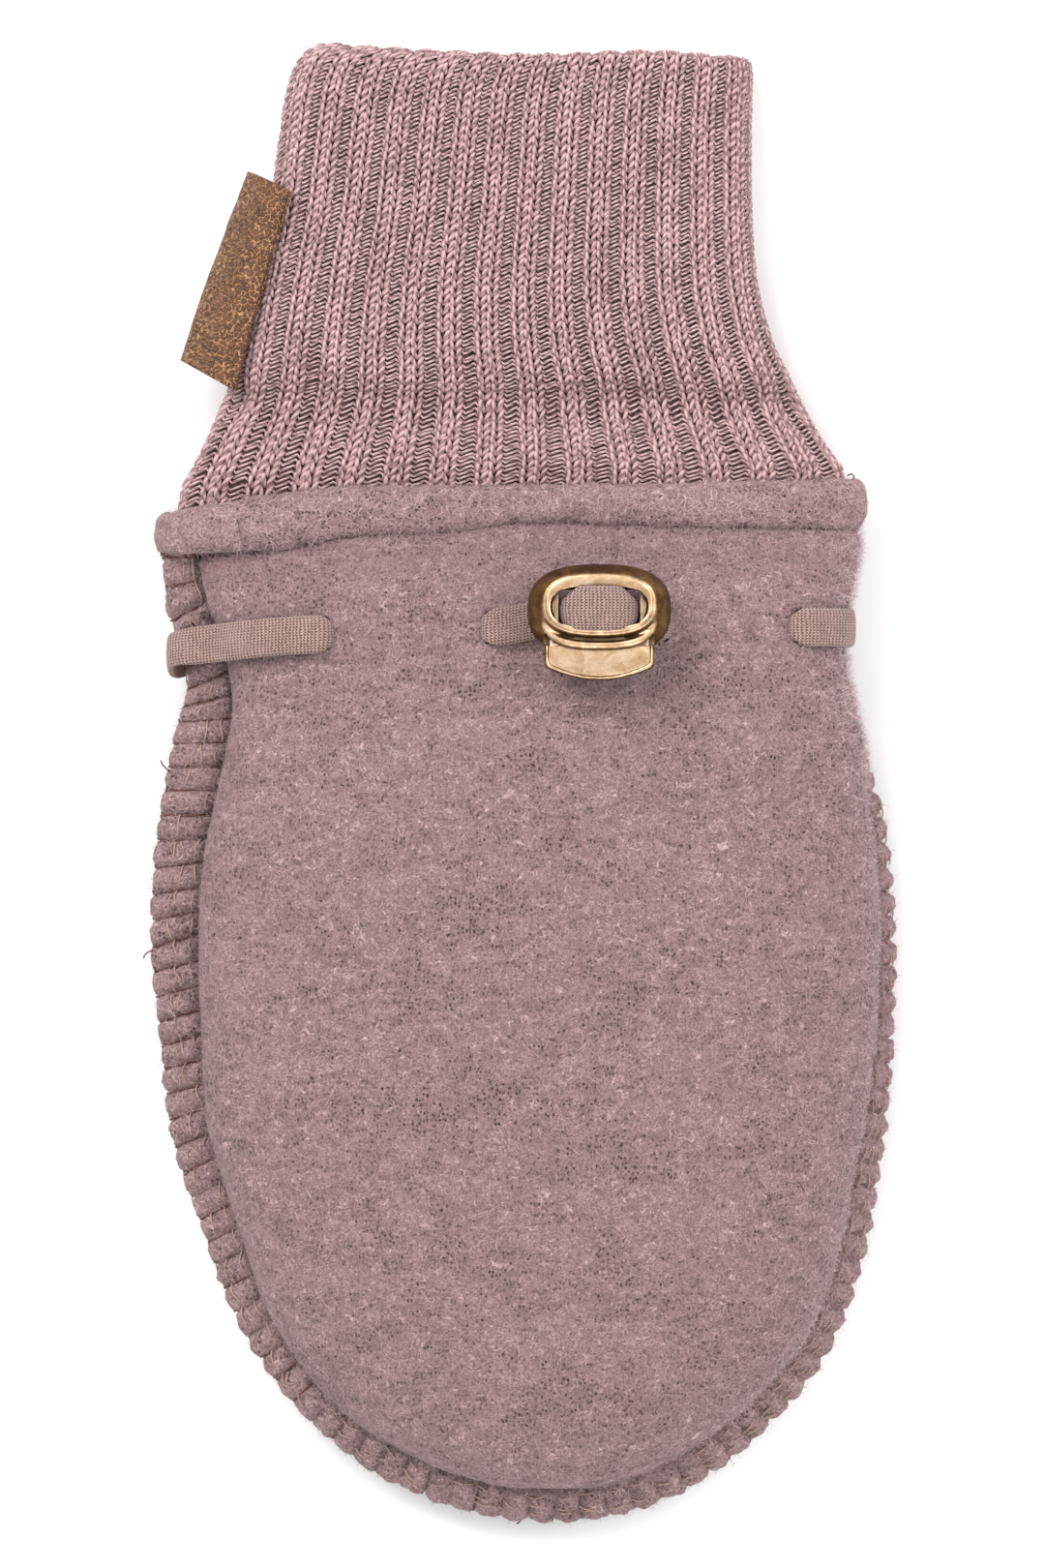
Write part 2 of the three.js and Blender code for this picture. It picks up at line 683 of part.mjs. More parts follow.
// The cuff's courses follow its uneven top edge and, below, the slant of the turned band
function cuffLevel(x, y) {
  const top = THREE.MathUtils.smoothstep(y, CUFF_TOP_Y - CUFF_UNEVEN_REACH.top, CUFF_TOP_Y);
  const bottom = 1 - THREE.MathUtils.smoothstep(y, BAND_RING_Y, BAND_RING_Y + CUFF_UNEVEN_REACH.bottom);
  return y + (read(BAND_EDGES, 'x', 'cuffTop', x) - CUFF_TOP_Y) * top
    + (read(BAND_EDGES, 'x', 'bottom', x) - BAND_LEVEL_Y) * bottom;
}

function cuffRow(y, inset, ribbed) {
  const ring = cuffRing(y, RIB_REPEATS * RIB_PROFILE.length, inset);
  return ring.map(({ point, normal }, j) => {
    const sunk = ribbed ? RIB_PROFILE[j % RIB_PROFILE.length] : 0;
    const p = point.clone().addScaledVector(normal, sunk);
    p.y = cuffLevel(p.x, y);
    return p;
  });
}

function cuff() {
  const outer = CUFF_LEVELS.map((y) => cuffRow(y, 0, true));
  const inner = CUFF_LEVELS.map((y) => cuffRow(y, CUFF_WALL, false));
  outer.push(cuffRow(CUFF_TOP_Y, CUFF_LIP, false));
  inner.push(cuffRow(CUFF_TOP_Y, CUFF_WALL - CUFF_LIP, false));
  return wall(outer, inner, true);
}

// Turned band round the top of the fleece, front and back part

const BAND_SECTION = table(['out', 'up'], [
  [0, 0.12],
  [0, 0.88],
  [0.35, 1],
  [0.8, 0.93],
  [1, 0.62],
  [1, 0.34],
  [0.84, 0.08],
  [0.4, 0],
]);

function bandLoops(fromShare, toShare) {
  const fine = BAND_STEPS * 10;
  const ring = cuffRing(BAND_RING_Y, fine, 0);
  const steps = Math.round((toShare - fromShare) * BAND_STEPS);
  const loops = [];
  for (let k = 0; k <= steps; k++) {
    const share = THREE.MathUtils.lerp(fromShare, toShare, k / steps);
    const { point, normal } = ring[(Math.round(share * fine) + fine) % fine];
    const front = THREE.MathUtils.smoothstep(normal.z, BAND_SWELL_FROM, 1);
    const thick = THREE.MathUtils.lerp(BAND_BACK, BAND_FRONT, front);
    loops.push(BAND_SECTION.map(({ out, up }) => {
      const p = point.clone().addScaledVector(normal, BAND_TO_CUFF + thick * out);
      const bottom = read(BAND_EDGES, 'x', 'bottom', p.x);
      const top = read(BAND_EDGES, 'x', 'top', p.x);
      p.y = THREE.MathUtils.lerp(bottom, top, up);
      return p;
    }));
  }
  return loops;
}

// Leather tab, folded at its outer edge

function labelSection(width) {
  const outside = LABEL_LAYER + LABEL_SLOT / 2;
  const inside = LABEL_SLOT / 2;
  const bend = width - outside;
  const chamfer = width - outside * 0.3;
  return [
    [0, outside],
    [bend, outside],
    [chamfer, outside * 0.6],
    [width, 0],
    [chamfer, -outside * 0.6],
    [bend, -outside],
    [0, -outside],
    [0, -inside],
    [bend, -inside],
    [bend, inside],
    [0, inside],
  ];
}

// Rows along the tab, close enough together that its twisted layers stay apart
function labelRows() {
  const rows = LABEL.map((row) => ({ ...row, z: cuffFrontZ(row.x, row.y) + LABEL_LIFT }));
  const between = (a, b, share) => Object.fromEntries(
    Object.keys(a).map((key) => [key, THREE.MathUtils.lerp(a[key], b[key], share)]));
  const shares = Array.from({ length: LABEL_STEPS }, (_, k) => k / LABEL_STEPS);
  return [
    ...rows.slice(1).flatMap((row, i) => shares.map((share) => between(rows[i], row, share))),
    rows[rows.length - 1],
  ];
}

function labelLoop(row) {
  const sewn = new THREE.Vector3(row.x, row.y, row.z);
  const fold = new THREE.Vector3(row.foldX, row.foldY, sewn.z - row.hang);
  const across = fold.clone().sub(sewn);
  const width = across.length();
  across.normalize();
  const along = new THREE.Vector3(LABEL[0].x - LABEL[3].x, LABEL[0].y - LABEL[3].y, 0).normalize();
  const up = across.clone().cross(along).normalize();
  if (up.z < 0) up.negate();
  return labelSection(width)
    .map(([out, high]) => sewn.clone().addScaledVector(across, out).addScaledVector(up, high));
}

function cuffFrontZ(x, y) {
  const ring = cuffRing(y, CUFF_OUTLINE_STEPS / 2, 0);
  const front = ring.filter((at) => at.normal.z > 0);
  front.sort((a, b) => Math.abs(a.point.x - x) - Math.abs(b.point.x - x));
  return front[0].point.z;
}

// The tab's section is hollow, so its ends are cut as shapes and not as fans
function label() {
  const loops = labelRows().map(labelLoop);
  const n = loops[0].length;
  const points = loops.flat();
  const triangles = [];
  for (let i = 0; i < loops.length - 1; i++) {
    for (let j = 0; j < n; j++) {
      const k = (j + 1) % n;
      quad(triangles, i * n + j, i * n + k, (i + 1) * n + k, (i + 1) * n + j);
    }
  }
  const width = LABEL[0].x - LABEL[0].foldX;
  const flat = labelSection(width).map(([x, y]) => new THREE.Vector2(x, y));
  const turned = Math.sign(THREE.ShapeUtils.area(flat));
  const lastLoop = (loops.length - 1) * n;
  for (const corners of THREE.ShapeUtils.triangulateShape(flat, [])) {
    const same = Math.sign(THREE.ShapeUtils.area(corners.map((k) => flat[k]))) === turned;
    const [a, b, c] = same ? corners : [corners[0], corners[2], corners[1]];
    triangles.push(a, c, b);
    triangles.push(lastLoop + a, lastLoop + b, lastLoop + c);
  }
  return solid(points, triangles);
}

// Elastic: one loop round the wrist

const LOCK_BACK_Z = surfaceZ(LOCK.x) + GAP + TAPE_THICK + GAP;
const LOCK_FRONT_Z = LOCK_BACK_Z + LOCK.thick;

// The line of the elastic's middle over the fleece, or under it, between two places across the mitten
function alongFleece(fromX, toX, offset) {
  const inset = offset > 0 ? 0 : FLEECE;
  const points = [];
  const steps = Math.max(Math.round(Math.abs(toX - fromX) / 3), 1);
  for (let k = 0; k <= steps; k++) {
    const x = THREE.MathUtils.lerp(fromX, toX, k / steps);
    const y = read(TAPE_LINE, 'x', 'front', x);
    const heights = [-0.5, 0, 0.5].map((side) => surfaceZ(x, y + side * TAPE_WIDTH, inset));
    const steepness = Math.hypot(1, surfaceZ(x + 0.5, y, inset) - surfaceZ(x - 0.5, y, inset));
    points.push([x, (offset > 0 ? Math.max(...heights) : Math.min(...heights)) + offset * steepness]);
  }
  return points;
}

function tapeRoute() {
  const over = GAP + TAPE_THICK / 2;
  const under = -(over + GAP);
  const eyeLeft = LOCK.x - LOCK.eye.x;
  const eyeRight = LOCK.x + LOCK.eye.x;
  const bridgeZ = LOCK_FRONT_Z - LOCK.recess.depth + over;
  const crest = LOCK.eye.x * 0.4;
  const front = [
    ...LEFT_WRAP.map(({ x, z }) => [x, z]),
    ...alongFleece(TAPE_ON_TOP.left, SLITS.left - TAPE_TURN, over + TAPE_ON_TOP.leftLift),
    ...alongFleece(SLITS.left, SLITS.leftOfLock, under),
    ...alongFleece(SLITS.leftOfLock + TAPE_TURN, eyeLeft, over),
    [eyeLeft, bridgeZ],
    [LOCK.x - crest, bridgeZ + TAPE_ON_TOP.crestLift],
    [LOCK.x + crest, bridgeZ + TAPE_ON_TOP.crestLift],
    [eyeRight, bridgeZ],
    ...alongFleece(eyeRight, SLITS.rightOfLock - TAPE_TURN, over),
    ...alongFleece(SLITS.rightOfLock, SLITS.right, under),
    ...alongFleece(SLITS.right + TAPE_TURN, TAPE_ON_TOP.right, over + TAPE_ON_TOP.rightLift),
    ...RIGHT_WRAP.map(({ x, z }) => [x, z]),
  ];
  const back = BACK_STOPS.map((x) => new THREE.Vector3(x, read(TAPE_LINE, 'x', 'back', x), over));
  const line = front.map(([x, z]) => {
    const side = z > TAPE_ON_TOP.above ? 'front' : 'back';
    return new THREE.Vector3(x, read(TAPE_LINE, 'x', side, x), z);
  });
  return [...line, ...back];
}

// The route with its sharper corners rounded, as points
function roundCorners(route, radius) {
  const sharp = 0.25;
  const points = [];
  const n = route.length;
  for (let k = 0; k < n; k++) {
    const here = route[k];
    const before = route[(k + n - 1) % n];
    const after = route[(k + 1) % n];
    const back = before.clone().sub(here);
    const ahead = after.clone().sub(here);
    const bend = Math.PI - back.angleTo(ahead);
    if (bend < sharp) {
      points.push(here.clone());
      continue;
    }
    const reach = Math.min(radius, back.length() / 2.2, ahead.length() / 2.2);
    const start = here.clone().addScaledVector(back.normalize(), reach);
    const end = here.clone().addScaledVector(ahead.normalize(), reach);
    const curve = new THREE.QuadraticBezierCurve3(start, here, end);
    points.push(...curve.getPoints(3));
  }
  return points;
}

// The elastic is squeezed where it passes through the lock's eyes, and centred on them
function tapeAt(p) {
  const onFront = THREE.MathUtils.smoothstep(p.z, TAPE_SQUEEZE.frontFrom, TAPE_SQUEEZE.frontTo);
  const away = Math.abs(p.x - LOCK.x);
  const past = away - LOCK.eye.x;
  const nearLock = onFront * (1 - THREE.MathUtils.smoothstep(past, TAPE_SQUEEZE.from, TAPE_SQUEEZE.to));
  const above = THREE.MathUtils.smoothstep(
    p.z, LOCK_BACK_Z - TAPE_SQUEEZE.sink, LOCK_BACK_Z - TAPE_SQUEEZE.risen);
  const bridge = 1 - THREE.MathUtils.smoothstep(
    away, TAPE_SQUEEZE.bridgeFrom, LOCK.eye.x - TAPE_SQUEEZE.bridgeTo);
  const inLock = THREE.MathUtils.lerp(TAPE_IN_EYE, TAPE_ON_BRIDGE, bridge * above);
  return {
    half: THREE.MathUtils.lerp(TAPE_WIDTH, inLock, nearLock) / 2,
    y: THREE.MathUtils.lerp(p.y, LOCK.y + LOCK.eye.y, nearLock),
  };
}

function tape() {
  const line = roundCorners(tapeRoute(), TAPE_BEND);
  const n = line.length;
  const loops = line.map((p, k) => {
    const along = line[(k + 1) % n].clone().sub(line[(k + n - 1) % n]).setY(0).normalize();
    const out = new THREE.Vector3(-along.z, 0, along.x);
    const { half, y } = tapeAt(p);
    const rim = TAPE_EDGE_THICK / 2;
    const section = [
      [-half, rim],
      [0, TAPE_THICK / 2],
      [half, rim],
      [half, -rim],
      [0, -TAPE_THICK / 2],
      [-half, -rim],
    ];
    return section.map(([side, high]) => new THREE.Vector3(p.x, y + side, p.z).addScaledVector(out, high));
  });
  return bar(loops, true);
}

// Cord lock

function ovalShape(halfWidth, halfHeight, squareness, segments) {
  const points = [];
  for (let k = 0; k < segments; k++) {
    const angle = 2 * Math.PI * k / segments;
    points.push(new THREE.Vector2(
      halfWidth * signedPower(Math.cos(angle), 2 / squareness),
      halfHeight * signedPower(Math.sin(angle), 2 / squareness)));
  }
  return new THREE.Shape(points);
}

function prism(shape, fromZ, toZ, bevel = 0) {
  const geometry = new THREE.ExtrudeGeometry(shape, {
    depth: toZ - fromZ - 2 * bevel,
    bevelEnabled: bevel > 0,
    bevelThickness: bevel,
    bevelSize: bevel,
    bevelOffset: -bevel,
    bevelSegments: LOCK.facets.bevel,
    steps: 1,
  });
  geometry.translate(0, 0, fromZ + bevel);
  return geometry;
}

function rectangle(x0, x1, y0, y1) {
  return new THREE.Shape([[x0, y0], [x1, y0], [x1, y1], [x0, y1]].map(([x, y]) => new THREE.Vector2(x, y)));
}

// The plunger's plate, grown all round for the room that it slides in and stretched by its travel
function plateShape(grow, stretch) {
  const half = PLUNGER.plateHalf + grow;
  const low = PLUNGER.shoulder - 0.5;
  const side = PLUNGER.plateShoulder + stretch;
  const top = PLUNGER.plateTop + stretch + grow;
  const chamfer = PLUNGER.plateChamfer;
  return new THREE.Shape([
    new THREE.Vector2(-half, low),
    new THREE.Vector2(half, low),
    new THREE.Vector2(half, side),
    new THREE.Vector2(half - chamfer * 0.4, top - (top - side) / 3),
    new THREE.Vector2(half - chamfer, top),
    new THREE.Vector2(chamfer - half, top),
    new THREE.Vector2(chamfer * 0.4 - half, top - (top - side) / 3),
    new THREE.Vector2(-half, side),
  ]);
}

function buttonShape() {
  const half = PLUNGER.buttonHalf;
  const shape = new THREE.Shape();
  shape.moveTo(-half, PLUNGER.shoulder);
  shape.lineTo(-half, PLUNGER.corner);
  shape.quadraticCurveTo(0, 2 * PLUNGER.lowest - PLUNGER.corner, half, PLUNGER.corner);
  shape.lineTo(half, PLUNGER.shoulder);
  return shape;
}

function lockBody() {
  const { recess, eye, facets } = LOCK;
  const half = { x: LOCK.width / 2, y: LOCK.height / 2 };
  const shell = ovalShape(half.x, half.y, LOCK.squareness, facets.rim);
  let body = toManifold(prism(shell, 0, LOCK.thick, LOCK.bevel));
  const hollow = ovalShape(recess.width / 2, recess.height / 2, LOCK.recessSquareness, facets.recess);
  const bowl = prism(hollow, LOCK.thick - recess.depth, LOCK.thick + 1).translate(0, recess.y, 0);
  body = body.subtract(toManifold(bowl));
  for (const side of [-1, 1]) {
    const hole = prism(ovalShape(eye.wide / 2, eye.tall / 2, eye.squareness, facets.eye), -1, LOCK.thick + 1);
    body = body.subtract(toManifold(hole.translate(side * eye.x, eye.y, 0)));
  }
  const room = PLUNGER.clearance;
  const plate = prism(plateShape(room, PLUNGER.travel), PLUNGER.plateFromBack - room,
    PLUNGER.plateFromBack + PLUNGER.plateThick + room);
  const mouth = prism(
    rectangle(-PLUNGER.buttonHalf - room, PLUNGER.buttonHalf + room, -half.y - 2,
      PLUNGER.shoulder + PLUNGER.travel + room),
    PLUNGER.buttonFromBack - room, PLUNGER.buttonFromBack + PLUNGER.buttonThick + room);
  body = body.subtract(toManifold(plate)).subtract(toManifold(mouth));
  return fromManifold(body);
}

function lockPlunger() {
  const { window } = PLUNGER;
  const from = PLUNGER.plateFromBack;
  let body = toManifold(prism(plateShape(0, 0), from, from + PLUNGER.plateThick));
  const back = PLUNGER.buttonFromBack;
  body = body.add(toManifold(prism(buttonShape(), back, back + PLUNGER.buttonThick)));
  for (const side of [-1, 1]) {
    const x = side * LOCK.eye.x;
    const outline = rectangle(x - window.half, x + window.half, window.low, window.high);
    body = body.subtract(toManifold(prism(outline, -1, LOCK.thick + 1)));
  }
  return fromManifold(body);
}

// The mitten

const mitten = new THREE.Group();

function addPiece(parent, name, geometry, colour, roughness, metalness) {
  const material = new THREE.MeshStandardMaterial({ color: colour, roughness, metalness });
  material.name = name;
  const mesh = new THREE.Mesh(geometry, material);
  mesh.name = name;
  parent.add(mesh);
}

const frontBand = bandLoops(BAND_SPLIT.left, BAND_SPLIT.right);
const backBand = bandLoops(BAND_SPLIT.right + BAND_SPLIT.gap, 1 + BAND_SPLIT.left - BAND_SPLIT.gap);

addPiece(mitten, 'front_panel', frontPanel(), COLOURS.fleece, 0.95, 0);
addPiece(mitten, 'back_panel', backPanel(), COLOURS.fleece, 0.95, 0);
addPiece(mitten, 'seam_rim', seamRimBody(), COLOURS.seam, 0.95, 0);
addPiece(mitten, 'front_top_band', bar(frontBand, false), COLOURS.fleece, 0.95, 0);
addPiece(mitten, 'back_top_band', bar(backBand, false), COLOURS.fleece, 0.95, 0);
addPiece(mitten, 'rib_cuff', cuff(), COLOURS.knit, 0.9, 0);
addPiece(mitten, 'leather_tab', label(), COLOURS.leather, 0.7, 0);
addPiece(mitten, 'elastic', tape(), COLOURS.tape, 0.85, 0);

const lock = new THREE.Group();
lock.position.set(LOCK.x, LOCK.y, LOCK_BACK_Z);
addPiece(lock, 'lock_body', lockBody(), COLOURS.brass, 0.35, 1);
addPiece(lock, 'lock_plunger', lockPlunger(), COLOURS.brass, 0.35, 1);
mitten.add(lock);

export default mitten;
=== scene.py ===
# One thumbless baby mitten of dusty rose wool fleece, lying on its back, seen from straight above with its
# rib cuff up. Sizes are in millimetres and become metres when a mesh is made. +X is right, +Y runs from the
# round end to the cuff, and +Z is up, as in the frame.

import math

import bpy
import numpy as np
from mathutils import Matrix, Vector


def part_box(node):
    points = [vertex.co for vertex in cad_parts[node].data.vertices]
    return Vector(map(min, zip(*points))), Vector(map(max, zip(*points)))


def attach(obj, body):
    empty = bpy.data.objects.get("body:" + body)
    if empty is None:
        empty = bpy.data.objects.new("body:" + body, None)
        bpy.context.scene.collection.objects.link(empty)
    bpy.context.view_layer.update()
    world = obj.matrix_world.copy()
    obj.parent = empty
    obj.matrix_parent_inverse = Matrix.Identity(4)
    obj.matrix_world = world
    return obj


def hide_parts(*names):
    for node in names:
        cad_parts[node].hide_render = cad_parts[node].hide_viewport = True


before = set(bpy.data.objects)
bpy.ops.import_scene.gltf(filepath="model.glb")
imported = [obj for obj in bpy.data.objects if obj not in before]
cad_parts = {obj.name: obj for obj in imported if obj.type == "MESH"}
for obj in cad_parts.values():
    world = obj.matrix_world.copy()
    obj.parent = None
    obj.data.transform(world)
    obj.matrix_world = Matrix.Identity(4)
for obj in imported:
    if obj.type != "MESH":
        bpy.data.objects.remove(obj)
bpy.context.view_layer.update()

MM = 0.001
TABLE_Z = 0.0
MITTEN = "mitten"
BUTTON = "lock_button"
COL = (slice(None), None)

# Cloth walls and the gaps between pieces
GAP = 0.3
FLEECE = 2.4
CUFF_WALL = 2.0
SEAM_GAP = 0.15

# Fleece body
BODY_TOP_Y = 25.9
ROUND_START_Y = -30
TIP_Y = -81
CROWN_Z = 20.5
WAIST_Y = 17
WAIST_DEPTH = 2.0
WAIST_FLAT = 4.5
WAIST_REACH = 14
NECK_DROP = 3.4
NECK_START_Y = 20
LAST_ROW_ANGLE = math.radians(84)
EDGE_ROUNDING = 1.6
ARCH_ACROSS = 2.5
ARCH_UP = 2.3
ARCH_AT_END = 2.4
TUCK_FULL_BULGE = 2
TRAY_SQUARE = 6
TRAY_EDGE_POWER = 0.6
TRAY_FLAT_SHARE = 1.06
RIM_SHOWS_BELOW = -2.0
RELIEF_HEIGHT = 0.13

# Rows of each panel down its lip, its straight part and its round end, and the columns across it
LIP_ROWS = 8
FRONT_ROWS = (64, 46)
BACK_ROWS = (40, 28)
FRONT_COLUMNS = 100
TUCK_COLUMNS = 10
BACK_COLUMNS = 70
FUZZ_ROWS = 11
FUZZ_COLUMNS = 12
SIDE_FROM = 82

# Overlock seam
SEAM_HALF = 1.8
STITCH_PITCH = 2.8
STITCH_LEAN = 0.22
SCALLOP = 0.32
NOTCH = 0.58
PILLOW_TOP = 1.18
THREAD_RADIUS = 0.16
THREAD_OFFSET = 0.17
LOOPER_RADIUS = 0.11
RIM_HEAD = 5.0
RIM_HEAD_LIFT = 0.3
PILLOW_POWER = 0.7
LEAN_STARTS = 6
LEAN_FADES = 0.4
RIM_PINCH = 0.2
RIM_PINCH_REACH = 4

# Where the rim slopes down steeply it is thicker and reaches further, and its stitches stand out less
RIM_SLOPES = (0.3, 0.6)
RIM_STEEP_GROWTH = 0.5
RIM_STEEP_REACH = 0.8
RIM_STEEP_FLATTENS = 0.6
RIM_STEEP_FILLS = 0.1

# Points round the rim and round its threads' paths, and rings to each stitch
RIM_SIDES = 20
THREAD_LOOP = 24
STEPS_A_STITCH = 8

# The channel under the elastic on the back
CHANNEL_Y = 16.6
CHANNEL_HALF = 4.1
CHANNEL_SHOULDER = 3
CHANNEL_LIFT = 1.9

# Rib cuff
RIB_REPEATS = 31
CUFF_START_Y = 29.6
CUFF_TOP_Y = 84
CUFF_MIDDLE = 0.45
CUFF_SQUARENESS = 3.2
CUFF_FRONT_SQUARENESS = 4.4
CUFF_UNDERSIDE_SQUARENESS = 9
TROUGH_Y = 43.8
TROUGH_DEPTH = 1.4
TROUGH_REACH = 2.2
ROW_PITCH = 1.02
KNIT_WIDTH = 1.27
KNIT_STRETCH = 0.14
KNIT_START = -0.10
REPEAT_WIDTH = 3.44
YARN_RADIUS = 0.26
PURL_RADIUS = 0.20
GROUND_STEP = 1.3
GROUND_DEPTH = 0.42
FRONT_REPEATS = RIB_REPEATS // 2 + 1

# Turned band at the top of the fleece
BAND_FRONT = 3.2
BAND_BACK = 2.2
BAND_RING_Y = 31
BAND_TO_PANEL = 0.2
BAND_TO_CUFF = 0.4
BAND_SPLIT = {"left": -0.03, "right": 0.555, "gap": 0.003}
BAND_STEPS = 520
BAND_SIDES = 24

# Elastic
TAPE_WIDTH = 4.4
TAPE_IN_EYE = 3.3
TAPE_ON_BRIDGE = 5.1
TAPE_BRIDGE_SHIFT = -0.12
TAPE_BRIDGE_REACH = 4.75
TAPE_BRIDGE_RISE = 0.75
TAPE_BRIDGE_ARCH = 0.5
TAPE_ARCH = 0.12
TAPE_CUT_FROM = 4.9
TAPE_CUT_SLOPE = 1.05
TAPE_EYE_X = 3.85
TAPE_END = 1.7
TAPE_END_SHARE = 0.62
TAPE_THICK = 1.2
TAPE_BEND = 1.7
WRAP_FROM = 37.0
WRAP_TO = 40.4
WRAP_NARROWS = 0.10
WRAP_FALLS = 1.6
WRAP_FALL_Z = (4, 11)
TAPE_BRIDGE_SQUARENESS = 3.5
TAPE_CUT_LEAST = 0.5
TAPE_EDGE_POWER = 0.62
TAPE_FACE_POWER = 0.7
TAPE_SINKS = 0.06

# Heights between which the elastic comes round to the front, how far beyond the lock's eyes it narrows, and
# how far behind the lock's back
TAPE_FRONT_Z = (8, 12)
LOCK_TAPER = (0.6, 2.4)
LOCK_REACH = (-1.5, -0.2)
TAPE_STEPS = 440
TAPE_SIDES = 16
TAPE_RIB_PITCH = 0.42
TAPE_WARP_PITCH = 0.32

# Cord lock, placed by its own box in the frame
LOCK_X = 8.83
LOCK_Y = 19.67
LOCK_BACK_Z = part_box("lock_body")[0][2] / MM
LOCK_THICK = 5.8
LOCK_HALF = (8.15, 5.225)
LOCK_SQUARENESS = 2.6
PLATEAU_HALF = (6.15, 3.4)
PLATEAU_Y = 0.75
PLATEAU_Z = 5.66
SHOULDER_Z = 3.0
RECESS_HALF = (5.5, 2.35)
RECESS_DEPTH = 1.3
EYE_X = 3.75
EYE_Y = 0.35
EYE_HALF = (1.45, 2.0)
BUTTON_BACK = 0.75
BUTTON_THICK = 4.2
BUTTON_HALF = 6.2
BUTTON_SHOULDER = -4.1
BUTTON_CORNER = -6.5
BUTTON_LOWEST = -7.97
PLATE_BACK = 1.15
PLATE_THICK = 2.6
PLATE_HALF = 5.6
PLATE_TOP = 2.95
PLATE_SHOULDER = 0.4
PLATE_CHAMFER = 1.6
WINDOW_HALF = 0.9
WINDOW_LOW = -3.2
WINDOW_HIGH = 2.35
BUTTON_ROOM = 0.15
BUTTON_TRAVEL = 1.2


def table(columns, rows):
    """Rows of numbers as one array for each named column."""
    return {name: np.array([row[k] for row in rows], float) for k, name in enumerate(columns)}


# The crease where the front panel meets the rim, from the cuff down the left side, round the end and up
# the right. z: height of the crease. reach, drop: how far the rim's edge stands out and lies below it.
# bulge, rise: how far the front panel rounds out past the crease, and how high its widest point is.
SEAM = table(["x", "y", "z", "reach", "drop", "bulge", "rise"], [
    [-37.2, 25.9, 9.8, 4.3, 0.8, 0, 0.9],
    [-36.2, 21.6, 9.6, 5.0, 0.6, 0, 0.9],
    [-34.3, 15.4, 9.2, 4.7, 0.4, 0, 0.9],
    [-33.2, 9.5, 9.0, 6.0, 0.6, 0, 0.9],
    [-34.3, 2.0, 8.8, 6.3, 0.6, 0, 0.9],
    [-36.4, -8.0, 8.8, 5.9, 0.8, 0, 0.9],
    [-37.1, -18.0, 8.8, 5.7, 1.0, 0, 0.9],
    [-36.6, -30.0, 8.8, 5.2, 1.4, 0, 0.9],
    [-35.8, -40.0, 8.8, 4.9, 1.8, 0, 0.9],
    [-32.9, -49.3, 8.6, 4.5, 2.2, 0, 0.9],
    [-29.0, -60.6, 8.4, 3.9, 2.8, 0, 0.9],
    [-22.9, -69.6, 8.2, 3.7, 3.1, 0, 0.9],
    [-14.6, -76.1, 8.0, 4.0, 3.1, 0, 0.9],
    [-5.2, -79.9, 8.0, 4.0, 3.1, 0, 0.9],
    [4.2, TIP_Y, 8.0, 4.0, 3.1, 0, 0.9],
    [13.6, -79.2, 8.0, 4.1, 3.2, 0, 0.9],
    [22.9, -73.8, 8.0, 3.9, 3.3, 0, 0.9],
    [31.3, -65.2, 7.8, 3.5, 3.6, 0, 0.9],
    [35.6, -55.9, 7.7, 3.3, 3.8, 0, 0.9],
    [38.4, -43.0, 7.6, 3.0, 4.0, 0, 0.9],
    [40.2, -31.0, 7.5, 2.4, 4.1, 0, 0.9],
    [40.8, -18.0, 7.4, 2.0, 4.2, 0, 0.9],
    [40.5, -9.0, 7.2, 1.7, 4.0, 0, 0.9],
    [39.6, -3.0, 7.0, 1.6, 3.4, 0.3, 1.4],
    [37.4, 3.5, 6.6, 2.0, 2.2, 2.0, 3.2],
    [35.2, 9.5, 6.6, 2.6, 1.2, 2.9, 4.2],
    [34.0, 16.5, 7.2, 2.2, 0.4, 2.9, 4.2],
    [34.2, 25.9, 6.6, 3.4, 0.6, 4.9, 4.4],
])
TIP_ROW = 14

# Cross-sections of the cuff: its left and right edge and the heights of its underside and its front
CUFF = table(["y", "left", "right", "low", "high"], [
    [27, -39.4, 36.9, 2.7, 12.7],
    [31, -39.4, 36.9, 2.7, 12.7],
    [35.4, -38.9, 36.8, 2.7, 12.7],
    [38.5, -36.9, 34.9, 1.1, 11.9],
    [42.5, -34.8, 32.7, 0, 10.5],
    [46, -33.3, 31.0, 0, 11.2],
    [51, -32.1, 28.6, 0, 11.5],
    [58, -30.6, 26.9, 0, 11.5],
    [66, -28.8, 26.3, 0, 11.4],
    [74, -27.6, 26.2, 0, 11.3],
    [79, -26.8, 26.3, 0, 11.2],
    [82, -25.6, 26.4, 0, 11.1],
    [CUFF_TOP_Y, -23.6, 26.3, 0, 10.9],
])

# Edges of the turned band and the top of the cuff, across the mitten
BAND_EDGES = table(["x", "bottom", "top", "cuffTop"], [
    [-40, 26.3, 31.0, 84.6],
    [-27, 27.1, 33.2, 85.2],
    [-18, 28.4, 33.9, 84.6],
    [-8, 28.9, 34.0, 84.0],
    [2, 29.7, 34.1, 83.7],
    [14, 29.4, 34.2, 84.1],
    [27, 29.2, 34.5, 83.4],
    [40, 29.2, 34.9, 83.4],
])
BAND_SECTION = np.array([
    [0, 0.08], [0, 0.90], [0.35, 1], [0.8, 0.93], [1, 0.66], [1, 0.36], [0.80, 0.07], [0.35, -0.02],
])

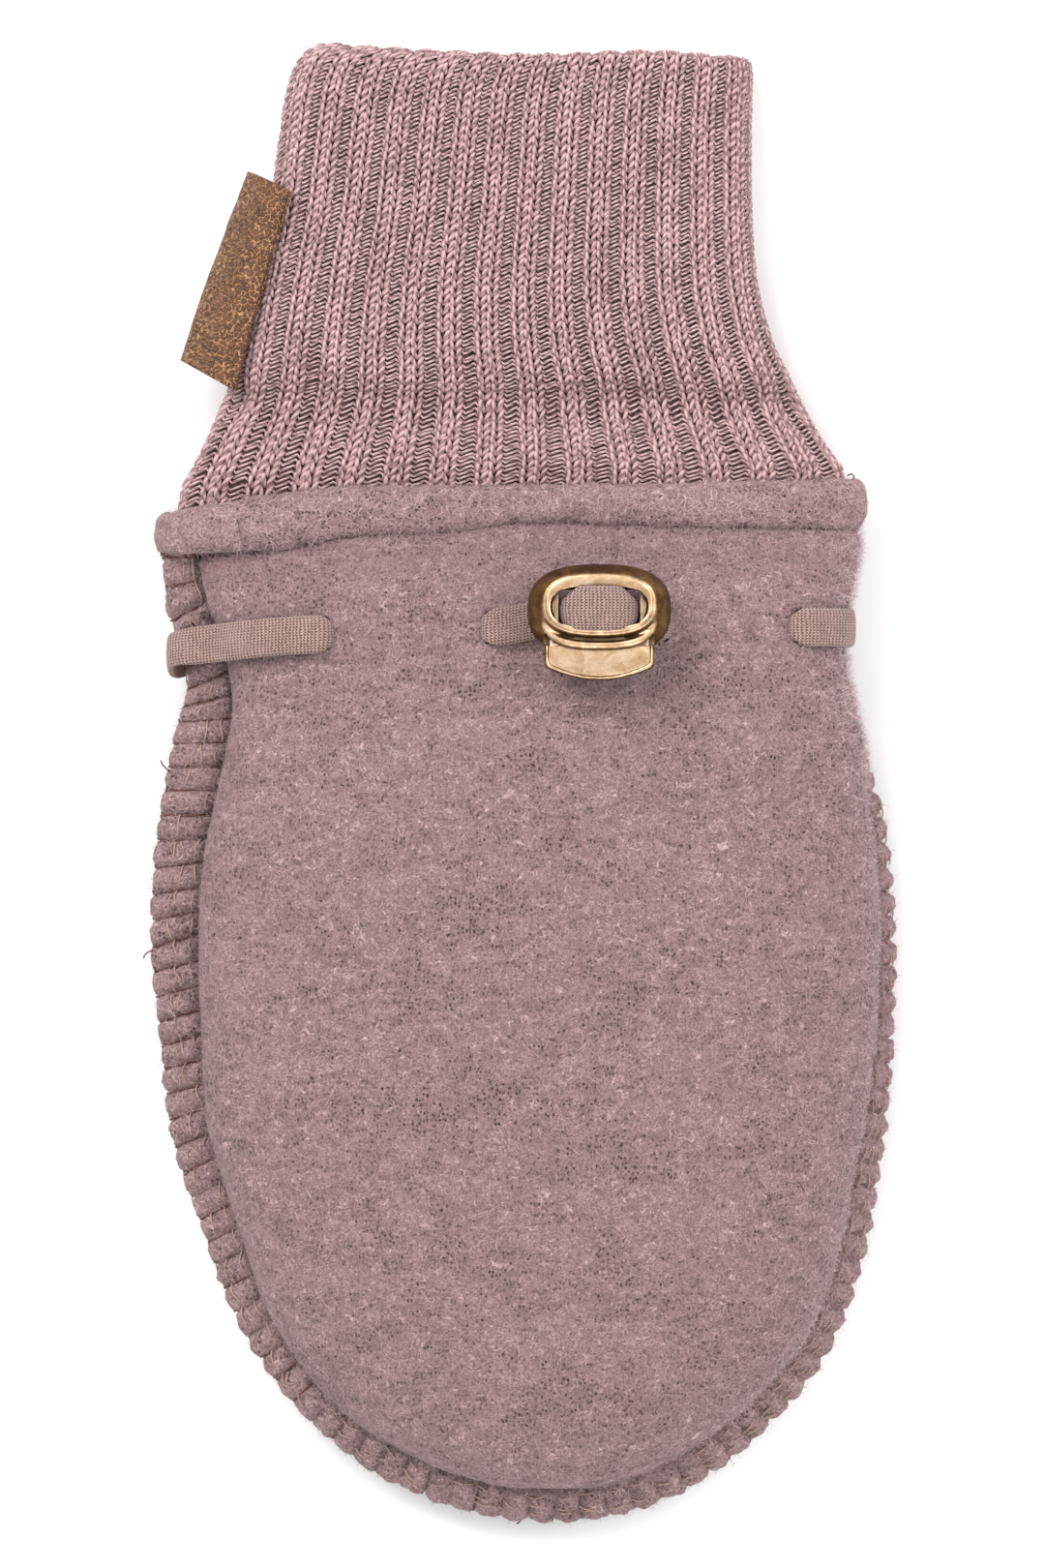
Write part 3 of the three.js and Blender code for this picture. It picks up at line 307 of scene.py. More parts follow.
# Folded leather tab: where its sewn edge and its fold lie, and how far the fold hangs below that edge
LABEL = table(["x", "y", "foldX", "foldY", "hang"], [
    [-26.5, 67.9, -31.3, 70.3, 4.2],
    [-28.8, 60.3, -34.0, 63.2, 3.6],
    [-31.0, 52.6, -36.8, 55.9, 2.6],
    [-32.8, 45.0, -39.2, 48.6, 1.6],
])
LABEL_LAYER = 0.9
LABEL_SLOT = 0.3
LABEL_LIFT = 2.0
LABEL_PRESSED = 0.4
LABEL_PRESSED_REACH = 1.6

# Where the elastic's middle lies up and down the mitten, from its left edge to its right
TAPE_LINE = table(["x", "front", "back"], [
    [-41, 15.4, 15.4],
    [-26, 16.9, 15.9],
    [-4, 17.7, 16.5],
    [5, 19.0, 16.8],
    [13, 19.0, 17.1],
    [17, 18.0, 17.3],
    [39, 17.8, 17.8],
])
LEFT_WRAP = [[-28, 0.9], [-35.4, 1.4], [-40.4, 5.4], [-40.4, 9.8], [-38.2, 11.4], [-35.2, 12.2]]
RIGHT_WRAP = [[36.4, 15.6], [37.6, 13.8], [37.9, 11.2], [37.9, 4.4], [36.2, 0.9], [28, 0.9]]
BACK_STOPS = [18, 6, -6, -18]
SLITS = {"left": -21.8, "leftOfLock": -4.3, "rightOfLock": 16.9, "right": 31.0}
SLIT_HALF = (0.6, 1.9)
SLIT_SHIFT = 0.5


# Small shared helpers

def lerp(a, b, t):
    return a + (b - a) * t


def smoothstep(x, low, high):
    t = np.clip((np.asarray(x, float) - low) / (high - low), 0, 1)
    return t * t * (3 - 2 * t)


def signed_power(value, exponent):
    return np.sign(value) * np.abs(value) ** exponent


def dome(fraction, squareness):
    """The height of a squarish arch of height 1 at a fraction of its half width."""
    return (1 - np.minimum(np.abs(fraction), 1) ** squareness) ** (1 / squareness)


def unit(vectors):
    return vectors / np.maximum(np.linalg.norm(vectors, axis=-1, keepdims=True), 1e-9)


def ring_angles(count, offset=0.0):
    """Angles evenly round a circle."""
    return 2 * math.pi * (np.arange(count) + offset) / count


def read(rows, key, column, at):
    """A smooth value of one column, read by another that rises. It never passes beyond its two rows."""
    keys, values = rows[key], rows[column]
    at = np.clip(np.asarray(at, float), keys[0], keys[-1])
    secant = np.diff(values) / np.diff(keys)
    before, after = secant[:-1], secant[1:]
    same = before * after > 0
    total = np.where(same, before + after, 1)
    inner = np.where(same, 2 * before * after / total, 0)
    slope = np.concatenate([secant[:1], inner, secant[-1:]])
    k = np.clip(np.searchsorted(keys, at, side="right") - 1, 0, len(keys) - 2)
    span = keys[k + 1] - keys[k]
    t = (at - keys[k]) / span
    return ((2 * t ** 3 - 3 * t ** 2 + 1) * values[k] + (t ** 3 - 2 * t ** 2 + t) * span * slope[k]
            + (3 * t ** 2 - 2 * t ** 3) * values[k + 1] + (t ** 3 - t ** 2) * span * slope[k + 1])


def soft_noise(points, pitch, seed, waves=28):
    """Smooth noise of about unit size, from waves in many directions near one pitch."""
    rng = np.random.default_rng(seed)
    directions = unit(rng.normal(size=(waves, 3))) / (pitch * rng.uniform(0.7, 1.5, (waves, 1)))
    phase = rng.uniform(0, 2 * math.pi, waves)
    total = np.zeros(points.shape[:-1])
    for direction, shift in zip(directions, phase):
        total += np.sin(2 * math.pi * (points @ direction) + shift)
    return total / math.sqrt(waves / 2)


# Meshes from grids and loops of points

def grid_normals(grid, closed=False):
    """Unit normals of a grid of points, from its rows crossed with its columns, which may close in rings."""
    down = np.gradient(grid, axis=0)
    across = np.roll(grid, -1, 1) - np.roll(grid, 1, 1) if closed else np.gradient(grid, axis=1)
    return unit(np.cross(down, across))


def tube_normals(loops):
    """Unit normals of a tube of loops, pointing out of it."""
    normals = grid_normals(loops, closed=True)
    out = loops - loops.mean(1, keepdims=True)
    return normals if np.sum(normals * out) > 0 else -normals


def facing(normals, up):
    """The same normals, turned so that they point up, 1, or down, -1, on the whole."""
    return normals if np.sum(normals[..., 2]) * up > 0 else -normals


def skin_quads(rows, sides, closed=False):
    """Faces of a tube of loops with an even number of sides. Open ends are closed by zipping each loop."""
    row = np.arange(rows if closed else rows - 1)[:, None]
    side = np.arange(sides)[None, :]
    here, ahead = row * sides, (row + 1) % rows * sides
    beside = (side + 1) % sides
    quads = [np.stack([here + side, here + beside, ahead + beside, ahead + side], -1).reshape(-1, 4)]
    if not closed:
        j = np.arange(sides // 2 - 1)
        cap = np.stack([j, j + 1, sides - 2 - j, sides - 1 - j], -1)
        quads += [cap[:, ::-1], cap + (rows - 1) * sides]
    return np.concatenate(quads)


def many(quads, count, points_each):
    """The same faces for each of many alike bodies."""
    return (quads[None] + np.arange(count)[:, None, None] * points_each).reshape(-1, 4)


def signed_volume(points, quads):
    a, b, c, d = (points[quads[:, k]] for k in range(4))
    first = np.einsum("ij,ij->i", a, np.cross(b, c))
    second = np.einsum("ij,ij->i", a, np.cross(c, d))
    return (first.sum() + second.sum()) / 6


def make_piece(name, points, quads, material, body=MITTEN, uv=None):
    """One mesh. What would sink into the table is pressed flat on it."""
    points = np.array(points, float).reshape(-1, 3)
    points[:, 2] = np.maximum(points[:, 2], TABLE_Z)
    quads = np.asarray(quads, np.int32).reshape(-1, 4)
    if signed_volume(points, quads) < 0:
        quads = quads[:, ::-1]
    mesh = bpy.data.meshes.new(name)
    mesh.vertices.add(len(points))
    mesh.vertices.foreach_set("co", (points * MM).astype(np.float32).ravel())
    mesh.loops.add(quads.size)
    mesh.loops.foreach_set("vertex_index", np.ascontiguousarray(quads).ravel())
    mesh.polygons.add(len(quads))
    mesh.polygons.foreach_set("loop_start", np.arange(0, quads.size, 4, dtype=np.int32))
    mesh.update(calc_edges=True)
    mesh.polygons.foreach_set("use_smooth", np.full(len(quads), True))
    if uv is not None:
        layer = mesh.uv_layers.new(name="place")
        corners = np.asarray(uv, np.float32).reshape(-1, 2)[quads.ravel()]
        layer.data.foreach_set("uv", corners.ravel())
    mesh.materials.append(material)
    piece = bpy.data.objects.new(name, mesh)
    bpy.context.scene.collection.objects.link(piece)
    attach(piece, body)
    return piece


def apply_modifiers(piece):
    """Puts the result of a piece's modifiers in place of its mesh."""
    bpy.context.view_layer.update()
    result = bpy.data.meshes.new_from_object(piece.evaluated_get(bpy.context.evaluated_depsgraph_get()))
    piece.modifiers.clear()
    old = piece.data
    piece.data = result
    result.name = piece.name
    bpy.data.meshes.remove(old)


def cut(piece, cutters, operation="DIFFERENCE"):
    """Cuts bodies out of a piece, or joins them to it, and deletes them."""
    for cutter in cutters:
        step = piece.modifiers.new("cut", "BOOLEAN")
        step.operation = operation
        step.solver = "EXACT"
        step.object = cutter
    apply_modifiers(piece)
    for cutter in cutters:
        bpy.data.objects.remove(cutter)


def closed_curve(points, count):
    """Points on a smooth closed curve through the given ones, which are the second axis from the end."""
    n = points.shape[-2]
    place = np.arange(count) * n / count
    k = place.astype(int)
    t = (place - k)[:, None]
    p0, p1, p2, p3 = (points[..., (k + shift) % n, :] for shift in (-1, 0, 1, 2))
    return p1 + 0.5 * t * (p2 - p0 + t * (2 * p0 - 5 * p1 + 4 * p2 - p3 + t * (3 * (p1 - p2) + p3 - p0)))


def strands(paths, normals, radii, sides):
    """Loops of points round many short paths at once. paths are many by steps by 3."""
    along = unit(np.gradient(paths, axis=1))
    across = unit(np.cross(along, normals))
    up = np.cross(across, along)
    angle = ring_angles(sides, 0.5)[:, None]
    circle = np.cos(angle) * across[:, :, None] + np.sin(angle) * up[:, :, None]
    return paths[:, :, None] + circle * radii[..., None, None]


def strand_piece(name, paths, normals, radii, sides, material, slot, uv_length=1.0):
    """One piece of many yarn strands. Its map runs along each strand and round it."""
    count, steps = paths.shape[:2]
    loops = strands(paths, normals, np.broadcast_to(radii, (count, steps)), sides)
    quads = many(skin_quads(steps, sides), count, steps * sides)
    offset = np.random.default_rng(len(name)).uniform(0, 1, count)
    u = np.linspace(0, uv_length, steps)[None, :, None] + offset[:, None, None]
    v = np.arange(sides)[None, None, :] / sides
    uv = np.stack(np.broadcast_arrays(u, v), -1)
    uv = np.broadcast_to(uv, (count, steps, sides, 2))
    return make_piece(name, loops, quads, material, uv=uv)


# The seam line

def curve_pieces(points, centripetal):
    """Cubic coefficients of each stretch of a smooth open curve through the points."""
    p = np.concatenate([2 * points[:1] - points[1:2], points, 2 * points[-1:] - points[-2:-1]])
    p0, p1, p2, p3 = p[:-3], p[1:-2], p[2:-1], p[3:]
    t1, t2 = (p2 - p0) / 2, (p3 - p1) / 2
    if centripetal:
        d0, d1, d2 = (np.linalg.norm(b - a, axis=1, keepdims=True) ** 0.5
                      for a, b in ((p0, p1), (p1, p2), (p2, p3)))
        t1 = ((p1 - p0) / d0 - (p2 - p0) / (d0 + d1) + (p2 - p1) / d1) * d1
        t2 = ((p2 - p1) / d1 - (p3 - p1) / (d1 + d2) + (p3 - p2) / d2) * d1
    return np.stack([p1, t1, -3 * p1 + 3 * p2 - 2 * t1 - t2, 2 * p1 - 2 * p2 + t1 + t2])


def on_curve(pieces, t):
    """Points and slopes at t from 0 to 1 along a curve made by curve_pieces."""
    place = np.clip(t, 0, 1) * pieces.shape[1]
    k = np.minimum(place.astype(int), pieces.shape[1] - 1)
    w = (place - k)[..., None]
    c0, c1, c2, c3 = pieces[:, k]
    return c0 + w * (c1 + w * (c2 + w * c3)), c1 + w * (2 * c2 + 3 * w * c3)


def columns_of(rows, *names):
    return np.stack([rows[name] for name in names], -1)


SEAM_LINE = curve_pieces(columns_of(SEAM, "x", "y", "z"), True)
SEAM_RIM = curve_pieces(columns_of(SEAM, "reach", "drop"), False)
SEAM_BULGE = curve_pieces(columns_of(SEAM, "bulge", "rise"), False)
TIP_T = TIP_ROW / (len(SEAM["x"]) - 1)
FINE_T = np.linspace(0, 1, 6001)
FINE_POINTS = on_curve(SEAM_LINE, FINE_T)[0]
FINE_LENGTH = np.concatenate([[0], np.cumsum(np.linalg.norm(np.diff(FINE_POINTS, axis=0), axis=1))])
SEAM_LENGTH = FINE_LENGTH[-1]


def seam_at(t):
    """The crease, the rim and the bulge beside it, at t along the seam, with their directions."""
    t = np.asarray(t, float)
    crease, slope = on_curve(SEAM_LINE, t)
    tangent = unit(slope * np.array([1, 1, 0]))
    reach, drop = np.moveaxis(on_curve(SEAM_RIM, t)[0], -1, 0)
    bulge, rise = np.moveaxis(on_curve(SEAM_BULGE, t)[0], -1, 0)
    length = np.hypot(reach, drop)
    outward = np.stack([tangent[..., 1], -tangent[..., 0], np.zeros_like(reach)], -1)
    lift = np.array([0, 0, 1.0])
    out = (outward * reach[..., None] - lift * drop[..., None]) / length[..., None]
    up = (outward * drop[..., None] + lift * reach[..., None]) / length[..., None]
    return {
        "crease": crease, "tangent": tangent, "outward": outward, "out": out, "up": up,
        "root": crease - SEAM_HALF * up, "length": length, "bulge": np.maximum(bulge, 0), "rise": rise,
    }


def seam_t(y, side):
    """Where the seam line crosses a height y, on the left or the right side."""
    tip = np.searchsorted(FINE_T, TIP_T)
    if side == "left":
        return np.interp(-np.asarray(y, float), -FINE_POINTS[:tip, 1], FINE_T[:tip])
    return np.interp(y, FINE_POINTS[tip:, 1], FINE_T[tip:])


def length_t(length):
    """The seam line's t at distances along it."""
    return np.interp(length, FINE_LENGTH, FINE_T)


# The fleece body

def body_rows(straight, rounded):
    """The y of each row of a panel: closer at its top lip and round its end."""
    lip = np.linspace(BODY_TOP_Y, BODY_TOP_Y - EDGE_ROUNDING, LIP_ROWS, endpoint=False)
    level = np.linspace(BODY_TOP_Y - EDGE_ROUNDING, ROUND_START_Y, straight, endpoint=False)
    angle = np.linspace(0, LAST_ROW_ANGLE, rounded)
    return np.concatenate([lip, level, ROUND_START_Y + (TIP_Y - ROUND_START_Y) * np.sin(angle)])


def round_fraction(y):
    """How far into the round end a y lies, from 0 to 1."""
    return np.clip((ROUND_START_Y - y) / (ROUND_START_Y - TIP_Y), 0, 1)


def level_shift(x, y):
    """How far a row moves up or down near the band, whose lower edge runs unevenly."""
    fade = smoothstep(y, WAIST_Y + TAPE_WIDTH / 2, BODY_TOP_Y)
    return (read(BAND_EDGES, "x", "bottom", x) - BAND_TO_PANEL - BODY_TOP_Y) * fade


def crown_at(y):
    """The height of the front panel's crown, lower under the elastic and at the neck."""
    waist = WAIST_DEPTH * (1 - smoothstep(np.abs(y - WAIST_Y), WAIST_FLAT, WAIST_REACH))
    return CROWN_Z - waist - NECK_DROP * smoothstep(y, NECK_START_Y, BODY_TOP_Y)


def front_rows(y, inset):
    """Rows across the front panel's outer face, or its inner face where inset is the wall."""
    y = np.atleast_1d(np.asarray(y, float))
    left, right = seam_at(seam_t(y, "left")), seam_at(seam_t(y, "right"))
    roots = [at["root"] + SEAM_GAP * at["up"] - inset * at["outward"] for at in (left, right)]
    curl = smoothstep(right["bulge"], 0, TUCK_FULL_BULGE)
    outer_foot = right["crease"][:, 2] + GAP
    l = left["crease"] + GAP * left["up"]
    r = right["crease"] + GAP * right["up"]
    widest_z = outer_foot + right["rise"]
    if inset > 0:
        l, r = roots[0].copy(), roots[1].copy()
        l[:, 2] += SEAM_GAP
        low_foot = r[:, 2] + SEAM_GAP
        r[:, 2] = lerp(low_foot, outer_foot + inset, curl)
        widest_z = lerp(low_foot + right["rise"], widest_z + GAP, curl)
    widest_x = np.maximum(r[:, 0], right["crease"][:, 0] + right["bulge"] - inset)
    middle, half = (l[:, 0] + widest_x) / 2, (widest_x - l[:, 0]) / 2
    crown = (crown_at(y) - inset - (l[:, 2] + widest_z) / 2) * dome(round_fraction(y), ARCH_AT_END)
    angle = math.pi * (1 - np.arange(FRONT_COLUMNS + 1) / FRONT_COLUMNS)
    across = signed_power(np.cos(angle), 2 / ARCH_ACROSS)
    share = (across + 1) / 2
    arch = np.stack([
        middle[COL] + half[COL] * across,
        lerp(l[:, 1][COL], r[:, 1][COL], share),
        lerp(l[:, 2][COL], widest_z[COL], share) + crown[COL] * np.abs(np.sin(angle)) ** (2 / ARCH_UP),
    ], -1)
    turn = math.pi / 2 * np.arange(1, TUCK_COLUMNS + 1) / TUCK_COLUMNS
    under = np.stack([
        r[:, 0][COL] + (widest_x - r[:, 0])[COL] * np.cos(turn),
        np.broadcast_to(r[:, 1][COL], (len(y), TUCK_COLUMNS)),
        widest_z[COL] - (widest_z - r[:, 2])[COL] * np.sin(turn),
    ], -1)
    rows = np.concatenate([roots[0][:, None], arch, under, roots[1][:, None]], 1)
    rows[..., 1] += level_shift(rows[..., 0], y[COL])
    return rows


def end_row(y, inset, count):
    """The last row of the front panel, straight across at the round end."""
    ends = [seam_at(seam_t(y, name)) for name in ("left", "right")]
    a, b = (at["root"] + SEAM_GAP * at["up"] - inset * at["outward"] for at in ends)
    return lerp(a, b, np.linspace(0, 1, count)[:, None])[None]


def surface_z(x, y, inset=0):
    """The height of the front panel's outer face, or its inner one where inset is the wall."""
    arch = front_rows(y, inset)[0][1:FRONT_COLUMNS + 2]
    return float(np.interp(x, arch[:, 0], arch[:, 2]))


def channel_lift(y):
    """How far the back panel lies off the table under the elastic."""
    away = np.abs(y - CHANNEL_Y)
    return CHANNEL_LIFT * (1 - smoothstep(away, CHANNEL_HALF, CHANNEL_HALF + CHANNEL_SHOULDER))


def back_rows(y, inset):
    """Rows across the back panel, a shallow tray that lies flat on the table."""
    y = np.asarray(y, float)
    under = SEAM_HALF + GAP
    sides = [seam_at(seam_t(y, name)) for name in ("left", "right")]
    if inset > 0:
        lean = [np.sum(at["up"] * at["outward"], -1, keepdims=True) for at in sides]
        feet = [at["root"] - SEAM_GAP * at["up"] - (inset + under * tilt) * at["outward"]
                for at, tilt in zip(sides, lean)]
        rims = [foot.copy() for foot in feet]
    else:
        feet = [at["root"] - under * at["up"] for at in sides]
        rims = [at["root"] - SEAM_GAP * at["up"] for at in sides]
    l, r = feet
    floor = (inset + channel_lift(y))[COL]
    middle, half = (l[:, 0] + r[:, 0]) / 2, (r[:, 0] - l[:, 0]) / 2
    across = -np.cos(math.pi * np.arange(BACK_COLUMNS + 1) / BACK_COLUMNS)
    share = (across + 1) / 2
    end = dome(round_fraction(y), TRAY_SQUARE)[COL]
    bowl = TRAY_FLAT_SHARE * (1 - np.abs(across) ** TRAY_SQUARE) ** TRAY_EDGE_POWER * end
    edge = lerp(l[:, 2][COL], r[:, 2][COL], share)
    z = edge + (floor - edge) * np.minimum(bowl, 1)
    if inset > 0:
        z[:, [0, -1]] -= SEAM_GAP
    tray = np.stack([middle[COL] + half[COL] * across, lerp(l[:, 1][COL], r[:, 1][COL], share), z], -1)
    rows = np.concatenate([rims[0][:, None], tray, rims[1][:, None]], 1)
    rows[..., 1] += level_shift(rows[..., 0], y[COL])
    return rows


def wall_loops(outer, inner):
    """Each row's outer points and then its inner ones backwards, as one loop."""
    return np.concatenate([outer, inner[:, ::-1]], 1)


# The cuff's surface

def cuff_rings(y, inset, shares):
    """Points at shares of the way round the cuff, from its left edge over the front, at each level."""
    y, inset = np.atleast_1d(y), np.broadcast_to(inset, np.shape(np.atleast_1d(y)))
    left = read(CUFF, "y", "left", y) + inset
    right = read(CUFF, "y", "right", y) - inset
    low = read(CUFF, "y", "low", y) + inset
    high = read(CUFF, "y", "high", y) - inset
    middle = low + (high - low) * CUFF_MIDDLE
    angle = math.pi - 2 * math.pi * np.linspace(0, 1, 721)
    front = np.sin(angle) >= 0
    square = np.where(front, CUFF_FRONT_SQUARENESS, CUFF_UNDERSIDE_SQUARENESS)
    rise = np.abs(np.sin(angle)) ** (2 / square)
    across = signed_power(np.cos(angle), 2 / CUFF_SQUARENESS)
    x = ((left + right) / 2)[COL] + ((right - left) / 2)[COL] * across
    z = middle[COL] + rise * np.where(front, (high - middle)[COL], (low - middle)[COL])
    step = np.hypot(np.diff(x, axis=1), np.diff(z, axis=1))
    length = np.concatenate([np.zeros((len(y), 1)), np.cumsum(step, 1)], 1)
    rings = [
        np.stack([np.interp(shares * total[-1], total, xs), np.full(len(shares), level),
                  np.interp(shares * total[-1], total, zs)], -1)
        for level, total, xs, zs in zip(y, length, x, z)
    ]
    return np.array(rings), length[:, -1]


def cuff_level(x, y):
    """The y of a point on the cuff, whose top and bottom edges run unevenly."""
    top = smoothstep(y, CUFF_TOP_Y - 24, CUFF_TOP_Y)
    bottom = 1 - smoothstep(y, BAND_RING_Y, BAND_RING_Y + 13)
    return (y + (read(BAND_EDGES, "x", "cuffTop", x) - CUFF_TOP_Y) * top
            + (read(BAND_EDGES, "x", "bottom", x) - (BAND_RING_Y - 2)) * bottom)


class CuffSurface:
    """The doubled cuff as one surface: up its outside, over the fold at the top and down its inside."""

    step = 0.5
    columns = RIB_REPEATS * 16

    def __init__(self):
        radius = CUFF_WALL / 2
        fold_y = CUFF_TOP_Y - radius
        outside = np.arange(CUFF_START_Y, fold_y, self.step)
        turn = np.arange(self.step / 2, math.pi * radius, self.step) / radius
        inside = np.arange(fold_y, CUFF_START_Y, -self.step)
        y = np.concatenate([outside, fold_y + radius * np.sin(turn), inside])
        inset = np.concatenate([0 * outside, radius * (1 - np.cos(turn)), 0 * inside + CUFF_WALL])
        self.grid, self.round = cuff_rings(y, inset, np.arange(self.columns) / self.columns)
        self.grid[..., 1] = cuff_level(self.grid[..., 0], self.grid[..., 1])
        self.normals = -grid_normals(self.grid, closed=True)
        if self.normals[10, self.columns // 4, 2] < 0:
            self.normals = -self.normals
        self.sink_trough(np.arange(len(y)) < len(outside))
        self.outside_length = len(outside) * self.step
        self.fold_length = math.pi * radius
        self.length = (len(y) - 1) * self.step

    def sink_trough(self, outside):
        """The hollow across the front where the cuff comes out of the band."""
        hollow = TROUGH_DEPTH * np.exp(-(((self.grid[..., 1] - TROUGH_Y) / TROUGH_REACH) ** 2))
        hollow = hollow * smoothstep(self.normals[..., 2], 0.2, 0.9) * outside[COL]
        self.grid -= self.normals * hollow[..., None]

    def at(self, wale, share):
        """Points, normals and the way round at distances up the knit and shares of the way round."""
        i = np.clip(wale / self.step, 0, len(self.grid) - 1.001)
        j = share % 1 * self.columns
        i0, j0 = i.astype(int), j.astype(int) % self.columns
        j1 = (j0 + 1) % self.columns
        a, b = (i - i0)[..., None], (j - np.floor(j))[..., None]

        def mix(values):
            low = lerp(values[i0, j0], values[i0, j1], b)
            return lerp(low, lerp(values[i0 + 1, j0], values[i0 + 1, j1], b), a)

        return mix(self.grid), unit(mix(self.normals)), self.round[i0]


# Materials

class Value:
    """One output of a node. Sums, differences and products with numbers or other values add math nodes."""

    def __init__(self, nodes, socket):
        self.nodes = nodes
        self.socket = socket

    def __add__(self, other):
        return self.nodes.math("ADD", self, other)

    def __sub__(self, other):
        return self.nodes.math("SUBTRACT", self, other)

    def __rsub__(self, other):
        return self.nodes.math("SUBTRACT", other, self)

    def __mul__(self, other):
        return self.nodes.math("MULTIPLY", self, other)

    __radd__ = __add__
    __rmul__ = __mul__


class Nodes:
    """A material's nodes. A setting is a number, a colour or another node's value."""

    def __init__(self, name):
        self.material = bpy.data.materials.new(name)
        self.material.use_nodes = True
        self.tree = self.material.node_tree
        self.tree.nodes.clear()

    def set(self, socket, value):
        if isinstance(value, Value):
            self.tree.links.new(value.socket, socket)
        else:
            socket.default_value = value

    def add(self, kind, inputs=(), output=0, **settings):
        node = self.tree.nodes.new("ShaderNode" + kind)
        for key, value in settings.items():
            setattr(node, key, value)
        for key, value in dict(inputs).items():
            self.set(node.inputs[key], value)
        return Value(self, node.outputs[output]) if node.outputs else node

    def object_place(self):
        return self.add("TexCoord", output=3)

    def part(self, vector, axis):
        return self.add("SeparateXYZ", {"Vector": vector}, output=axis)

    def map_part(self, axis):
        """The first, 0, or second, 1, value of the mesh's own map."""
        return self.part(self.add("UVMap", uv_map="place"), axis)

    def moved(self, where, **changes):
        """A place shifted by location or stretched by scale."""
        shifts = {key.title(): value for key, value in changes.items()}
        return self.add("Mapping", {"Vector": where, **shifts})

    def noise(self, where, scale, detail=3.0, roughness=0.5, distortion=0.0):
        return self.add("TexNoise", {"Vector": where, "Scale": scale, "Detail": detail,
                                     "Roughness": roughness, "Distortion": distortion})

    def cells(self, where, scale, randomness, feature="F1"):
        return self.add("TexVoronoi", {"Vector": where, "Scale": scale, "Randomness": randomness},
                        feature=feature)

    def math(self, operation, a, b=0.0, clamp=False):
        return self.add("Math", {0: a, 1: b}, operation=operation, use_clamp=clamp)

    def wave(self, value):
        return self.math("SINE", value)

    def clamped(self, a, b):
        """The product of two values, kept between 0 and 1."""
        return self.math("MULTIPLY", a, b, clamp=True)

    def steps(self, value, low, high):
        """0 below low and 1 above high, smooth between."""
        return self.add("MapRange", {"Value": value, "From Min": low, "From Max": high},
                        interpolation_type="SMOOTHSTEP")

    def mix(self, share, a, b):
        node = self.tree.nodes.new("ShaderNodeMix")
        node.data_type = "RGBA"
        for index, value in ((0, share), (6, a), (7, b)):
            self.set(node.inputs[index], value)
        return Value(self, node.outputs[2])

    def bump(self, height, distance, strength):
        return self.add("Bump", {"Height": height, "Distance": distance * MM, "Strength": strength})

    def finish(self, base, roughness, specular=None, sheen=None, tint=None, normal=None, metallic=0.0):
        """The material, from its colour and finish. sheen is its weight and roughness."""
        inputs = {"Base Color": base, "Roughness": roughness, "Metallic": metallic}
        if specular is not None:
            inputs["Specular IOR Level"] = specular
        if sheen is not None:
            inputs["Sheen Weight"], inputs["Sheen Roughness"] = sheen
        if tint is not None:
            inputs["Sheen Tint"] = tint
        if normal is not None:
            inputs["Normal"] = normal
        self.add("OutputMaterial", {"Surface": self.add("BsdfPrincipled", inputs)})
        return self.material


def colour(red, green, blue):
    """A linear colour from red, green and blue as a screen shows them, from 0 to 255."""
    shown = [value / 255 for value in (red, green, blue)]
    return (*(v / 12.92 if v <= 0.04045 else ((v + 0.055) / 1.055) ** 2.4 for v in shown), 1.0)


ROSE_DEEP = colour(78, 57, 57)
ROSE_MID = colour(124, 97, 98)
ROSE_PALE = colour(162, 132, 134)
ROSE_WISP = colour(196, 166, 168)
ROSE_FLECK = colour(44, 31, 29)


def fleece_material(name, shift=0.0):
    """Brushed wool fleece: a fine dark knit that shows in thin places under a mat of tangled pale fibres."""
    n = Nodes(name)
    where = n.moved(n.object_place(), location=(shift, shift, 0))
    streaky = n.moved(where, scale=(0.7, 1.35, 1.0))
    clouds = n.noise(streaky, 110, 2.0, 0.5, 0.3)
    patches = n.noise(streaky, 520, 3.0, 0.6, 0.8)
    tufts = n.noise(where, 1500, 3.0, 0.65, 1.2)
    grain = n.noise(where, 4200, 2.0, 0.6, 0.8)
    pins = n.cells(n.moved(where, scale=(1.0, 0.72, 1.0)), 2300.0, 0.75)
    wisps = fibre_lines(n, where)
    thin = n.steps(patches + 0.5 * clouds, 0.80, 0.62)
    dots = n.steps(pins, 0.46, 0.20) * (0.85 * thin + 0.22) * n.steps(grain, 0.36, 0.52)
    base = n.mix(n.steps(tufts, 0.36, 0.64), ROSE_MID, ROSE_PALE)
    base = n.mix(0.55 * n.steps(patches, 0.62, 0.36), base, ROSE_MID)
    base = n.mix(0.62 * n.steps(grain, 0.54, 0.38), base, ROSE_DEEP)
    base = n.mix(wisps * (0.85 - 0.45 * thin), base, ROSE_WISP)
    base = n.mix(n.clamped(dots, 1.1), base, ROSE_FLECK)
    height = 0.5 * tufts + 0.3 * grain + 0.25 * wisps - 0.35 * dots
    return n.finish(base, 0.95, 0.12, sheen=(0.35, 0.55), tint=colour(225, 200, 204),
                    normal=n.bump(height, 0.35, 0.9))


def fibre_lines(n, where):
    """Thin curly lines, like single fibres, where layers of noise pass through their middle value."""
    wisps = 0.0
    for scale, turn, width in ((700, 0.0, 0.020), (1100, 1.7, 0.026), (1700, 3.1, 0.034)):
        layer = n.noise(n.moved(where, location=(turn, -turn, turn)), scale, 1.0, 0.5, 1.3)
        line = n.steps(n.math("ABSOLUTE", layer - 0.5), width, width * 0.2)
        wisps = n.math("MAXIMUM", line, wisps)
    return wisps


def nap_material(name, dark, light):
    """Single wool fibres. The map's second value is each fibre's own tint."""
    n = Nodes(name)
    return n.finish(n.mix(n.map_part(1), dark, light), 0.8, 0.2, sheen=(0.2, 0.4))


